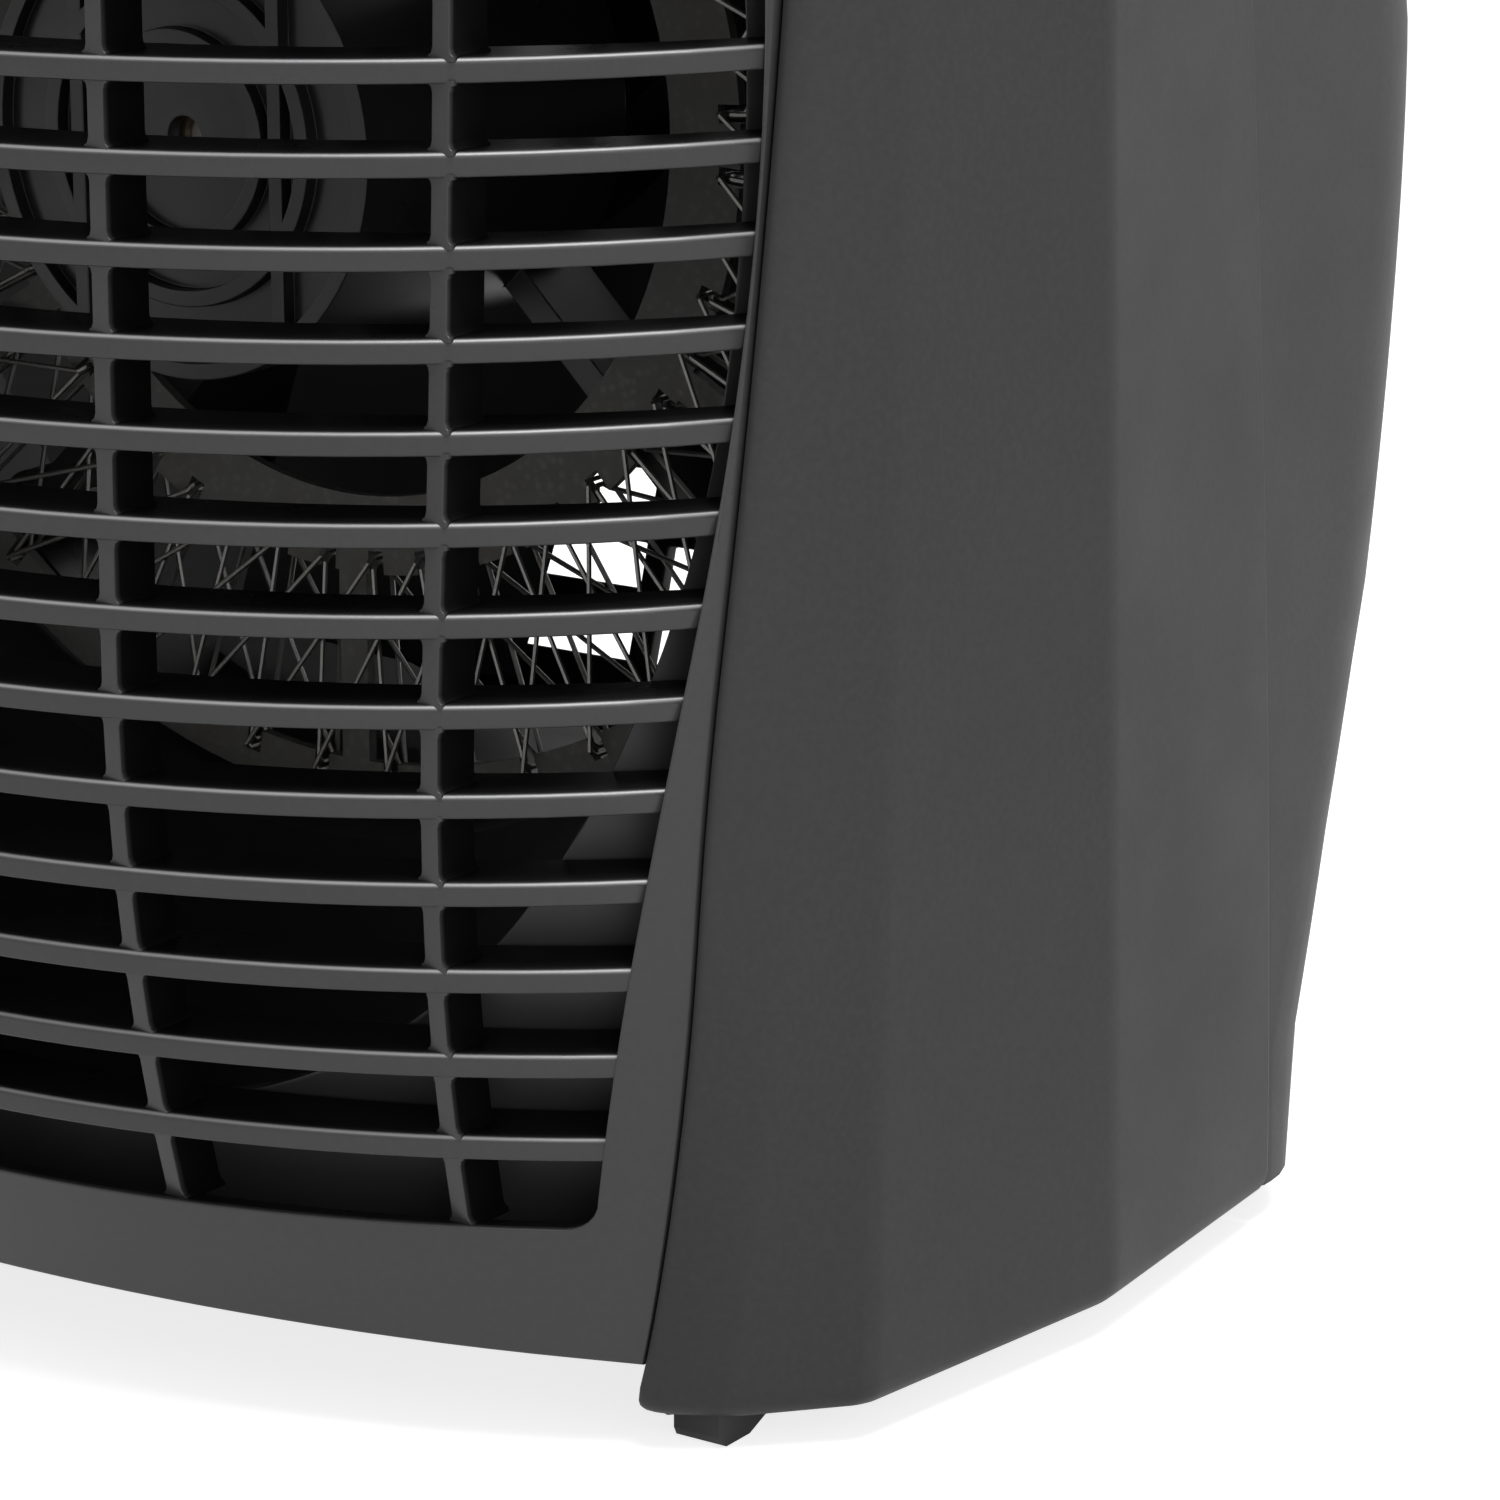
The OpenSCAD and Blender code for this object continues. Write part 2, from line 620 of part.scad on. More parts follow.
// The top cover's outline follows the panel, the shells and the rear cover below it
top_z = shell_top + seam;
top_mid = 70;
cover_outline = let (z = shell_top,
    right = concat(
        [for (i = [0:5]) let (x = edge_x(z) * i / 5) [x, panel_y(x, z)]],
        [line1(z), line2(z), line3(z)],
        [for (i = [1:6]) rear_path(z, line3_d)[i]]))
    concat(right, [for (p = mirrored(right)) if (p[0] < 0) p]);
cover_steps = [[1, 0], [0.99, 0.35], [0.955, 0.65], [0.9, 0.87], [0.82, 1]];
function scaled_by(s, w) = [for (p = cover_outline)
    let (q = [p[0], p[1] - depth(top_mid)], far = norm(q)) [q[0] * (s - w / far),
        depth(top_mid) + q[1] * (s - w / far)]];
deck_under = deck_z - top_wall;
plate_top = plate_z + plate_t;
// The control plate's edge lies this far outside its posts
plate_edge = 6;
post_x = panel_w / 2 - 22.8;
post_d = [40, 84];
plate_posts = [for (s = [-1, 1]) for (d = post_d) [s * post_x, d]];
handle_leg = handle_t + 2;
handle_leg_x = (handle_w - handle_leg) / 2;

module top_cover() {
    heights = [for (c = cover_steps) lerp(top_z, deck_z, c[1])];
    hollow = concat([top_z - past], [for (i = [1:3]) heights[i] - top_wall * i / 3], [deck_under]);
    color(grey) difference() {
        union() {
            difference() {
                loft([for (c = cover_steps) scaled_by(c[0], 0)], heights);
                loft([for (c = cover_steps) scaled_by(c[0], top_wall)], hollow);
            }
            for (p = plate_posts) translate([p[0], depth(p[1]), plate_top + seat_gap])
                cylinder(r = boss_r, h = deck_under + root - plate_top - seat_gap, $fn = fine);
        }
        for (s = [-1, 1]) translate([s * knob_x, depth(knob_at), deck_under - past])
            cylinder(r = spindle_r + 0.5, h = top_wall + 2 * past, $fn = fine);
        translate([0, depth(lens_at), deck_under - past])
            cylinder(r = lens_r + run_gap, h = top_wall + 2 * past, $fn = fine);
        for (s = [-1, 1]) translate([s * handle_leg_x, depth(handle_at), deck_under - past])
            cylinder(r = screw_r + screw_gap, h = top_wall + 2 * past, $fn = fine);
        for (p = plate_posts) translate([p[0], depth(p[1]), plate_z])
            cylinder(r = screw_r + screw_gap, h = deck_under - plate_z - past, $fn = fine);
    }
}

handle_z = deck_z + seat_gap;
handle_h = finger_h + handle_t;
module rounded_slab(w, h, r) {
    translate([-w / 2, 0]) square([w, h - r]);
    translate([-w / 2 + r, 0]) square([w - 2 * r, h]);
    for (s = [-1, 1]) translate([s * (w / 2 - r), h - r]) circle(r = r, $fn = fine);
}
module carry_handle() {
    color(dark) difference() {
        translate([0, 0, handle_z]) plate(handle_at - handle_d / 2, handle_at + handle_d / 2)
            difference() {
                rounded_slab(handle_w, handle_h, handle_r);
                translate([0, -past])
                    rounded_slab(handle_w - 2 * handle_leg, finger_h + past, handle_r / 2);
            }
        for (s = [-1, 1]) translate([s * handle_leg_x, depth(handle_at), handle_z - past])
            cylinder(r = screw_r + screw_gap, h = 14 + past, $fn = fine);
    }
}
module cord_inlet() {
    color(dark) translate([inlet_x, 0, inlet_z])
        pipe(inlet_r + inlet_wall, inlet_r, inlet_at - inlet_l * 0.7, inlet_at + inlet_l * 0.3);
}

// The baffle: a bowed plate close behind the slats, with a large rounded opening
oval_power = 2.75;
oval_steps = 40;
function signed_pow(v, n) = sign(v) * pow(abs(v), n);
function oval(a, b, t) =
    [a * signed_pow(cos(t), 2 / oval_power), axis_z + b * signed_pow(sin(t), 2 / oval_power)];
function to_frame(t) =
    let (p = oval(1, 1, t), dx = cos(t), dz = sin(t),
         top = shell_top - axis_z - 2, low = axis_z - panel_bottom - base_t - 2,
         h = dz > 0 ? top : low,
         z = axis_z + (abs(dz) * 0.72 > abs(dx) ? sign(dz) * h : h * dz / abs(dx) * 0.72),
         k = abs(dz) * 0.72 > abs(dx) ? dx / (abs(dz) * 0.72) : sign(dx))
    [k * (edge_x(z) - seam), z];
baffle_from = slat_step + slat_d + baffle_gap;
baffle_to = baffle_from + baffle_t;
module outlet_baffle() {
    ts = [for (i = [0:oval_steps - 1]) 360 * i / oval_steps];
    color(grey) bowed_ring([for (t = ts) oval(oval_a, oval_b, t)], [for (t = ts) to_frame(t)],
        baffle_from, baffle_to, 3);
}

// The tunnel carries the air from the duct's rim to the baffle's opening
tunnel_wall = 1.5;
module air_tunnel() {
    from = baffle_to + seat_gap;
    to = depth(duct_front - seat_gap);
    function mouth(w, t) = let (p = oval(oval_a + w, oval_b + w, t))
        [p[0], panel_y(p[0], p[1]) + from, p[1]];
    function rim(w, t) = [(duct_r + w) * cos(t), to, axis_z + (duct_r + w) * sin(t)];
    color(dark) ring_solid([for (i = [0:oval_steps - 1]) let (t = 360 * i / oval_steps)
        [rim(0, t), rim(tunnel_wall, t), mouth(tunnel_wall, t), mouth(0, t)]]);
}

duct_back = duct_front + duct_l;
pad_r = 4;
pad_at = duct_r - pad_r - 1;
arm_front = 78;
arm_back = 88;
pad_back = arm_back + 4;
ear_l = 9;
// The leads pass the duct's crown through two notches
notch_x = 17;
motor_lead_x = [-12, -15.5];
cutout_x = 3.9;
back_lead_d = arm_back + 2.7;
module fan_duct() {
    color(dark) difference() {
        union() {
            on_axis() pipe(duct_r + duct_wall, duct_r, duct_front, duct_back);
            at_arms(pad_at) bar(pad_r, arm_back + seat_gap, pad_back);
            for (a = [45:90:315]) on_axis() rotate([0, -a, 0])
                translate([pad_at + pad_r - root, depth(arm_back + seat_gap), -1.5])
                    cube([duct_r - pad_at - pad_r + 2 * root, pad_back - arm_back - seat_gap, 3]);
            at_arms(tower_r) bar(boss_r, duct_back - ear_l, duct_back);
            for (a = [45:90:315]) on_axis() rotate([0, -a, 0])
                translate([duct_r + root, depth(duct_back - ear_l), -2])
                    cube([tower_r - boss_r - duct_r, ear_l, 4]);
        }
        at_arms(pad_at) bar(screw_r + screw_gap, arm_back, pad_back + past);
        at_arms(tower_r) bar(screw_r + screw_gap, duct_back - ear_l - past, duct_back + past);
        // Notches that the leads pass through
        translate([-notch_x, depth(duct_front) - past, axis_z + duct_r - 4])
            cube([2 * notch_x, arm_front - duct_front, 12]);
        translate([motor_lead_x[1] - 2, depth(arm_back + 0.7), axis_z + duct_r - 6])
            cube([cutout_x - motor_lead_x[1] + 4, 4, 14]);
    }
}

fan_front = 94;
hub_l = 18;
hub_wall = 1.8;
module fan_impeller() {
    mid = fan_front + hub_l / 2;
    color(dark) on_axis() difference() {
        union() {
            bar(hub_r, fan_front, fan_front + hub_l);
            intersection() {
                pipe(fan_r, hub_r - root, fan_front - 4, fan_front + hub_l + 4);
                for (i = [0:blades - 1]) rotate([0, 360 * (i + 0.5) / blades, 0])
                    translate([0, depth(mid), 0]) rotate([-blade_pitch, 0, 0])
                        translate([0, -blade_t / 2, -blade_w / 2])
                            cube([fan_r + past, blade_t, blade_w]);
            }
        }
        difference() {
            bar(hub_r - hub_wall, fan_front + hub_wall, fan_front + hub_l + past);
            bar(shaft_r + 3, fan_front, fan_front + hub_l - 4);
        }
        bar(shaft_r + run_gap, fan_front - past, fan_front + hub_l);
    }
}
clip_at = fan_front + hub_l - 4 + seat_gap;
module fan_clip() {
    color(metal) on_axis() pipe(shaft_r + 2, shaft_r + run_gap, clip_at, clip_at + 1.2);
}

// The motor cup: its face has a hub and a rim ring, and two upright ribs join them
cup_in_r = cup_r - cup_wall;
cup_back = cup_front + cup_l;
bearing_r = 4;
bearing_l = 5;
face_t = 2;
bearing_front = cup_front + face_t;
spider_r = duct_r - 0.3;
spider_wall = 2;
module spider() {
    difference() {
        circle(r = spider_r, $fn = fine);
        circle(r = spider_r - spider_wall, $fn = fine);
        for (a = [45:90:315]) rotate(a) translate([pad_at, 0])
            circle(r = screw_r + screw_gap, $fn = fine);
    }
    for (a = [45:90:315]) rotate(a) difference() {
        union() {
            translate([cup_r - root, -arm_t / 2]) square([pad_at - cup_r + root, arm_t]);
            translate([pad_at, 0]) circle(r = pad_r, $fn = fine);
        }
        translate([pad_at, 0]) circle(r = screw_r + screw_gap, $fn = fine);
    }
}
module motor_bracket() {
    boss = bearing_r + 2.4;
    color(dark) difference() {
        union() {
            on_axis() difference() {
                bar(cup_r, cup_front, cup_back);
                bar(cup_in_r, cup_front + face_t, cup_back + past);
            }
            on_axis() pipe(cup_r, cup_r - 1.6, cup_front - 1.5, cup_front + root);
            on_axis() pipe(16, 14.4, cup_front - 1.5, cup_front + root);
            on_axis() pipe(10.5, 9, cup_front - 1.5, cup_front + root);
            on_axis() bar(boss, cup_front, bearing_front + bearing_l);
            for (s = [-1, 1]) translate([s * 12 - 0.8, depth(cup_front - 1.5), axis_z - 18.5])
                cube([1.6, 1.5 + root, 37]);
            on_axis() plate(arm_front, arm_back) spider();
        }
        on_axis() bar(bearing_r + run_gap, bearing_front, bearing_front + bearing_l + past);
        on_axis() bar(shaft_r + 0.4, cup_front - past, bearing_front + past);
    }
}

stack_front = 59;
stack_l = 18;
pole_w = 6;
yoke_w = 3.4;
stator_r = cup_in_r - 0.3;
cap_front = cup_back - 4;
cap_t = 2;
module motor_stator() {
    color(metal) on_axis() difference() {
        union() {
            pipe(stator_r, stator_r - yoke_w, stack_front, stack_front + stack_l);
            for (a = [0:90:270]) rotate([0, -a, 0])
                translate([rotor_r / 2, depth(stack_front), -pole_w / 2])
                    cube([stator_r - yoke_w - rotor_r / 2 + root, stack_l, pole_w]);
        }
        bar(rotor_r + air_gap, stack_front - past, stack_front + stack_l + past);
    }
}
module motor_winding() {
    grow = 2.8;
    coil_in = rotor_r + air_gap + 1.4;
    coil_out = sqrt(pow(stator_r - yoke_w, 2) - pow(pole_w / 2 + grow, 2)) - seat_gap * 2;
    color([0.72, 0.42, 0.2]) on_axis() for (a = [0:90:270]) rotate([0, -a, 0]) difference() {
        translate([coil_in, depth(stack_front) - grow, -pole_w / 2 - grow])
            cube([coil_out - coil_in, stack_l + 2 * grow, pole_w + 2 * grow]);
        translate([coil_in - past, depth(stack_front) - seat_gap * 2, -pole_w / 2 - seat_gap * 2])
            cube([coil_out, stack_l + 4 * seat_gap, pole_w + 4 * seat_gap]);
    }
}
module motor_end_cap() {
    color(dark) on_axis() difference() {
        union() {
            bar(cup_in_r - seat_gap, cap_front, cap_front + cap_t);
            bar(bearing_r + 2, cap_front - 3, cap_front + cap_t);
        }
        bar(bearing_r + run_gap, cap_front - 3 - past, cap_front + cap_t - 1);
        bar(shaft_r + 0.4, cap_front - past, cap_front + cap_t + past);
    }
}
rear_bearing_back = cap_front + cap_t - 1 - seat_gap;
module motor_bearings() {
    color([0.78, 0.62, 0.35]) on_axis() {
        pipe(bearing_r, shaft_r + run_gap, bearing_front + seat_gap, bearing_front + bearing_l);
        pipe(bearing_r, shaft_r + run_gap, rear_bearing_back - 4, rear_bearing_back);
    }
}
module motor_rotor() {
    color(metal) on_axis() pipe(rotor_r, shaft_r + run_gap, stack_front, stack_front + stack_l);
}
module motor_shaft() {
    color(metal) on_axis() bar(shaft_r, bearing_front + 1, clip_at + 2);
}

// The mica plate: two toothed rings joined by spokes
notch_step = 360 / notches;
spokes = 6;
mica_front = mica_at - mica_t / 2;
mica_back = mica_at + mica_t / 2;
module heater_mica() {
    color(mica) on_axis() plate(mica_front, mica_back) difference() {
        circle(r = mica_r, $fn = fine);
        circle(r = mica_hole_r, $fn = fine);
        difference() {
            circle(r = tooth_out_r, $fn = fine);
            circle(r = tooth_in_r, $fn = fine);
            for (i = [0:spokes - 1]) rotate(90 + 360 * i / spokes)
                translate([tooth_in_r - root, -spoke_w / 2]) square([tooth_out_r, spoke_w]);
        }
        for (i = [0:notches - 1]) rotate(90 + notch_step * (i + 0.5)) {
            translate([tooth_in_r - tooth_l, -notch_w / 2]) square([tooth_l + root, notch_w]);
            translate([tooth_out_r - root, -notch_w / 2]) square([tooth_l + root, notch_w]);
        }
    }
}

// Each wire runs in through one notch of the inner row and out through one of the outer row,
// in front of the plate on the way in and behind it on the way out
wire_loops = floor(notches / 2) - 1;
hook_in_r = tooth_in_r - tooth_l / 2;
hook_out_r = tooth_out_r + tooth_l / 2;
wire_off = mica_t / 2 + wire_gap + wire_r;
wire_end_r = mica_r + 0.3;
hook_bend = 0.6;
function on_plate(r, a, y) = [r * cos(a), depth(mica_at) + y, axis_z + r * sin(a)];
function notch_angle(i) = 90 + notch_step * (i + 0.5);
function wire_path(first) = concat(
    [on_plate(wire_end_r, notch_angle(first), -wire_off)],
    [for (i = [0:wire_loops - 1]) let (a = notch_angle(first + 2 * i), b = notch_angle(first + 2 * i + 2))
        each [
            on_plate(hook_out_r - hook_bend, a, -wire_off),
            on_plate(hook_in_r + hook_bend, a, -wire_off),
            on_plate(hook_in_r, a, -wire_off + hook_bend),
            on_plate(hook_in_r, a, wire_off - hook_bend),
            on_plate(hook_in_r + hook_bend, a, wire_off),
            on_plate(hook_out_r - hook_bend, b, wire_off),
            on_plate(hook_out_r, b, wire_off - hook_bend),
            on_plate(hook_out_r, b, -wire_off + hook_bend)]],
    [on_plate(hook_out_r + hook_bend, notch_angle(first + 2 * wire_loops), -wire_off),
     on_plate(wire_end_r, notch_angle(first + 2 * wire_loops), -wire_off)]);
// The least gap of a wire to itself, on points along its first two loops
function spread(path, step) = [for (i = [0:len(path) - 2])
    let (n = max(1, ceil(norm(path[i + 1] - path[i]) / step)))
    each [for (k = [0:n - 1]) lerp(path[i], path[i + 1], k / n)]];
gap_points = spread([for (i = [0:17]) wire_path(0)[i]], 1.5);
wire_least_gap = min([for (i = [0:len(gap_points) - 1]) for (j = [0:len(gap_points) - 1])
    if (j > i + 4) norm(gap_points[i] - gap_points[j])]) - 2 * wire_r;
echo("least gap of a heater wire to itself", wire_least_gap);

module heater_wire_a() { color(metal) tube(wire_path(0), wire_r, 6, [0, 1, 0.2]); }
module heater_wire_b() { color(metal) tube(wire_path(1), wire_r, 6, [0, 1, 0.2]); }

module heater_standoffs() {
    r = spider_r - spider_wall / 2;
    color(mica) for (a = [0:90:270]) translate([r * cos(a), 0, axis_z + r * sin(a)])
        bar(0.9, mica_back + seat_gap, arm_front - seat_gap);
}
cutout_r = 7;
module thermal_cutout() {
    color(metal) translate([0, 0, cutout_z]) {
        bar(cutout_r, arm_front + 1, arm_front + 7);
        for (s = [-1, 1]) translate([s * cutout_x - 0.6, depth(arm_front + 7), -3])
            cube([1.2, 2, 6]);
    }
}
cutout_z = axis_z + duct_r - 2.8 - cutout_r;
// The fuse lies on the duct's crown, beside the notch
fuse_r = 2;
fuse_l = 12;
fuse_at = [cutout_x + 4.4, depth(back_lead_d), axis_z + duct_r + duct_wall + fuse_r + 0.3];
module thermal_fuse() {
    color([0.8, 0.8, 0.78]) translate(fuse_at)
        rotate([0, 90, 0]) cylinder(r = fuse_r, h = fuse_l, $fn = fine);
}

// The control plate hangs from the top cover's posts and carries the switch and the thermostat
bush_r = 4.5;
module control_plate() {
    color(metal) difference() {
        translate([-post_x - plate_edge, depth(post_d[0] - plate_edge), plate_z])
            cube([2 * (post_x + plate_edge), post_d[1] - post_d[0] + 2 * plate_edge, plate_t]);
        for (s = [-1, 1]) translate([s * knob_x, depth(knob_at), plate_z - past])
            cylinder(r = bush_r + run_gap, h = plate_t + 2 * past, $fn = fine);
        for (p = plate_posts) translate([p[0], depth(p[1]), plate_z - past])
            cylinder(r = screw_r + screw_gap, h = plate_t + 2 * past, $fn = fine);
        translate([0, depth(lens_at), plate_z - past])
            cylinder(r = lens_r + 1, h = plate_t + 2 * past, $fn = fine);
    }
}
switch_h = 20;
bush_h = 5;
blade_foot = plate_z - switch_h - 7;
blade_half = 0.4;
module control_body(w, l) {
    translate([-w / 2, -l / 2, plate_z - seat_gap - switch_h]) cube([w, l, switch_h]);
    translate([0, 0, plate_z - seat_gap - root]) cylinder(r = bush_r, h = bush_h + root, $fn = fine);
}
switch_blades = 8;
thermostat_blades = 7;
spindle_foot = plate_z - 8;
module spindle_hole() {
    translate([0, 0, spindle_foot - seat_gap])
        cylinder(r = spindle_r + run_gap, h = bush_h + 10, $fn = fine);
}
module selector_switch() {
    color(dark) translate([-knob_x, depth(knob_at), 0]) difference() {
        union() {
            control_body(28, 28);
            for (i = [-1:1]) translate([i * switch_blades - 3, -blade_half, blade_foot])
                cube([6, 2 * blade_half, 8]);
        }
        spindle_hole();
    }
}
module thermostat() {
    color(metal) translate([knob_x, depth(knob_at), 0]) difference() {
        union() {
            control_body(22, 30);
            for (s = [-1, 1]) translate([s * thermostat_blades - 3, -blade_half, blade_foot])
                cube([6, 2 * blade_half, 8]);
        }
        spindle_hole();
    }
}
knob_z = deck_z + knob_gap;
knob_wall = 2;
socket_h = 9;
spindle_top = knob_z + socket_h - seat_gap;
module spindle() {
    translate([0, 0, spindle_foot]) cylinder(r = spindle_r, h = spindle_top - spindle_foot, $fn = fine);
}
module knob() {
    difference() {
        union() {
            cylinder(r = knob_r, h = 3, $fn = fine);
            cylinder(r = knob_r - 1.5, h = knob_h - 4, $fn = fine);
            translate([-2.5, -knob_r + 1.5, 0]) cube([5, 2 * knob_r - 3, knob_h]);
        }
        translate([0, 0, -past]) difference() {
            cylinder(r = knob_r - 1.5 - knob_wall, h = knob_h - 6 + past, $fn = fine);
            cylinder(r = spindle_r + 2, h = knob_h, $fn = fine);
        }
        translate([0, 0, -past]) cylinder(r = spindle_r + run_gap, h = socket_h + past, $fn = fine);
    }
}
module selector_spindle() { color(metal) translate([-knob_x, depth(knob_at), 0]) spindle(); }
module thermostat_spindle() { color(metal) translate([knob_x, depth(knob_at), 0]) spindle(); }
module selector_knob() { color(dark) translate([-knob_x, depth(knob_at), knob_z]) knob(); }
module thermostat_knob() { color(dark) translate([knob_x, depth(knob_at), knob_z]) knob(); }

lens_foot = deck_under - 1.5;
module pilot_lens() {
    color([0.85, 0.2, 0.12]) translate([0, depth(lens_at), lens_foot]) {
        cylinder(r = lens_r, h = deck_z + 0.6 - lens_foot, $fn = fine);
        cylinder(r = lens_r + 1, h = 1.4, $fn = fine);
    }
}
module pilot_lamp() {
    color([0.9, 0.8, 0.7]) translate([0, depth(lens_at), plate_z - 3])
        cylinder(r = lens_r - 0.5, h = lens_foot - seat_gap - plate_z + 3, $fn = fine);
}

block_h = 14;
block_x = 40;
block_l = 16;
block_pitch = 10;
block_w = 3 * block_pitch;
// Distance of the terminal block's middle in from the rear cover's back
block_in = 53;
block_d = body_d - block_in;
block_z = base_z + base_t + seat_gap;
module terminal_block() {
    color([0.85, 0.84, 0.8]) translate([block_x - block_w / 2, depth(block_d - block_l / 2), block_z])
        difference() {
            union() {
                cube([block_w, block_l, block_h - 4]);
                for (i = [0:2]) translate([i * block_pitch + 1.5, 2, 0])
                    cube([block_pitch - 3, block_l - 4, block_h]);
            }
            for (i = [0:2]) translate([(i + 0.5) * block_pitch, block_l / 2, block_h - 5])
                cylinder(r = 2, h = 6, $fn = fine);
        }
}

// The supply goes up the rear corner: one lead to the thermostat, one through the fuse to the
// cutout, and a link in front of the blades joins the thermostat to the switch
blade_d = knob_at + blade_half + seat_gap;
blade_front_d = knob_at - blade_half - seat_gap;
block_back = block_d + block_l / 2 + seat_gap;
// The leads rise behind the shell's rear edge, this far in from the widest line
corner_x = half_w - 20;
corner_d = [line3_d + 6, line3_d + 10];
module supply_leads() {
    z = block_z + 5;
    from = knob_x + thermostat_blades;
    color([0.45, 0.27, 0.14]) lead([[block_x + block_pitch, depth(block_back), z],
        [block_x + block_pitch, depth(block_back + 5), z], [corner_x, depth(corner_d[0]), z + 7],
        [corner_x, depth(corner_d[0]), blade_foot - 2], [from, depth(line3_d - 13), blade_foot + 3],
        [from, depth(blade_d), blade_foot + 3]]);
    color([0.15, 0.3, 0.6]) lead([[block_x, depth(block_back), z],
        [block_x, depth(block_back + 8), z], [corner_x - 6, depth(block_back + 8), z + 3],
        [corner_x, depth(corner_d[1]), z + 20], [corner_x, depth(corner_d[1]), fuse_at[2]],
        [fuse_at[0] + fuse_l + 12, fuse_at[1], fuse_at[2]],
        [fuse_at[0] + fuse_l + seat_gap, fuse_at[1], fuse_at[2]]]);
    color([0.15, 0.3, 0.6]) lead([[fuse_at[0] - seat_gap, fuse_at[1], fuse_at[2]],
        [cutout_x, fuse_at[1], fuse_at[2]], [cutout_x, fuse_at[1], cutout_z],
        [cutout_x, depth(arm_front + 9 + seat_gap), cutout_z]]);
    color([0.45, 0.27, 0.14]) lead([
        [knob_x - thermostat_blades, depth(blade_front_d), blade_foot + 3],
        [knob_x - thermostat_blades, depth(blade_front_d - 5), blade_foot + 3],
        [switch_blades - knob_x, depth(blade_front_d - 5), blade_foot + 3],
        [switch_blades - knob_x, depth(blade_front_d), blade_foot + 3]]);
}

// Two heater ends go to the switch. The other two, the cutout and the motor meet in a splice.
splice_r = 2.8;
splice_l = 8;
splice_d = 79;
splice_x = -cutout_x;
splice_z = fuse_at[2] + 2.5;
splice_step = 1.2;
module heater_leads() {
    lead_y = -wire_off;
    function start(a) = on_plate(wire_end_r + seat_gap, a, lead_y);
    function out(a, far) = on_plate(duct_r + far, a, lead_y);
    ends = [notch_angle(0), notch_angle(1),
        notch_angle(2 * wire_loops), notch_angle(2 * wire_loops + 1)];
    color([0.75, 0.72, 0.68]) {
        lead([start(ends[0]), out(ends[0], 6), [-knob_x, depth(knob_at), blade_foot - 6],
            [-knob_x, depth(knob_at), blade_foot - seat_gap]]);
        lead([start(ends[1]), out(ends[1], 6), [-knob_x - switch_blades, depth(knob_at), blade_foot - 6],
            [-knob_x - switch_blades, depth(knob_at), blade_foot - seat_gap]]);
        lead([start(ends[3]), out(ends[3], 7), [splice_x, depth(splice_d - 4), splice_z - splice_step],
            [splice_x, depth(splice_d - seat_gap), splice_z - splice_step]]);
        lead([start(ends[2]), out(ends[2], 10), [splice_x, depth(splice_d - 4), splice_z + splice_step],
            [splice_x, depth(splice_d - seat_gap), splice_z + splice_step]]);
        lead([[-cutout_x, depth(arm_front + 9 + seat_gap), cutout_z],
            [-cutout_x, depth(back_lead_d), cutout_z],
            [splice_x, depth(back_lead_d), splice_z - splice_step],
            [splice_x, depth(splice_d + splice_l + seat_gap), splice_z - splice_step]]);
        translate([splice_x, 0, splice_z]) bar(splice_r, splice_d, splice_d + splice_l);
    }
}
module motor_leads() {
    from = cap_front + cap_t + seat_gap;
    z = axis_z + 10;
    color([0.8, 0.78, 0.72]) {
        lead([[motor_lead_x[0], depth(from), z], [motor_lead_x[0], depth(back_lead_d), z],
            [motor_lead_x[0], depth(back_lead_d), splice_z + splice_step],
            [splice_x, depth(back_lead_d), splice_z + splice_step],
            [splice_x, depth(splice_d + splice_l + seat_gap), splice_z + splice_step]]);
        lead([[motor_lead_x[1], depth(from), z], [motor_lead_x[1], depth(back_lead_d), z],
            [motor_lead_x[1], depth(back_lead_d), splice_z],
            [-knob_x, depth(blade_d + 16), blade_foot + 4],
            [-knob_x, depth(blade_d), blade_foot + 4]]);
    }
}

// A screw that points along +Z from the underside of its head
module screw(length) {
    translate([0, 0, -head_h]) cylinder(r = head_r, h = head_h, $fn = fine);
    cylinder(r = screw_r, h = length, $fn = fine);
}
module rear_screws() {
    color(metal) at_arms(tower_r) translate([0, depth(tower_front + tower_floor + seat_gap), 0])
        rotate([90, 0, 0]) screw(14);
}
module base_screws() {
    color(metal) for (d = base_screw_d) for (s = [-1, 1])
        translate([s * base_screw_x(d), depth(d), base_z - seat_gap]) screw(12);
}
module bracket_screws() {
    color(metal) at_arms(pad_at) translate([0, depth(arm_front - seat_gap), 0])
        rotate([-90, 0, 0]) screw(13);
}
module handle_screws() {
    color(metal) for (s = [-1, 1])
        translate([s * handle_leg_x, depth(handle_at), deck_under - seat_gap]) screw(13);
}
module plate_screws() {
    color(metal) for (p = plate_posts) translate([p[0], depth(p[1]), plate_z - seat_gap]) screw(9);
}

front_panel();
left_wing();
right_wing();
rear_cover();
base_plate();
front_feet();
rear_feet();
top_cover();
carry_handle();
cord_inlet();
outlet_baffle();
air_tunnel();
fan_duct();
fan_impeller();
fan_clip();
motor_bracket();
motor_stator();
motor_winding();
motor_end_cap();
motor_bearings();
motor_rotor();
motor_shaft();
heater_mica();
heater_wire_a();
heater_wire_b();
heater_standoffs();
thermal_cutout();
thermal_fuse();
control_plate();
selector_switch();
selector_spindle();
selector_knob();
thermostat();
thermostat_spindle();
thermostat_knob();
pilot_lamp();
pilot_lens();
terminal_block();
supply_leads();
heater_leads();
motor_leads();
rear_screws();
base_screws();
bracket_screws();
handle_screws();
plate_screws();
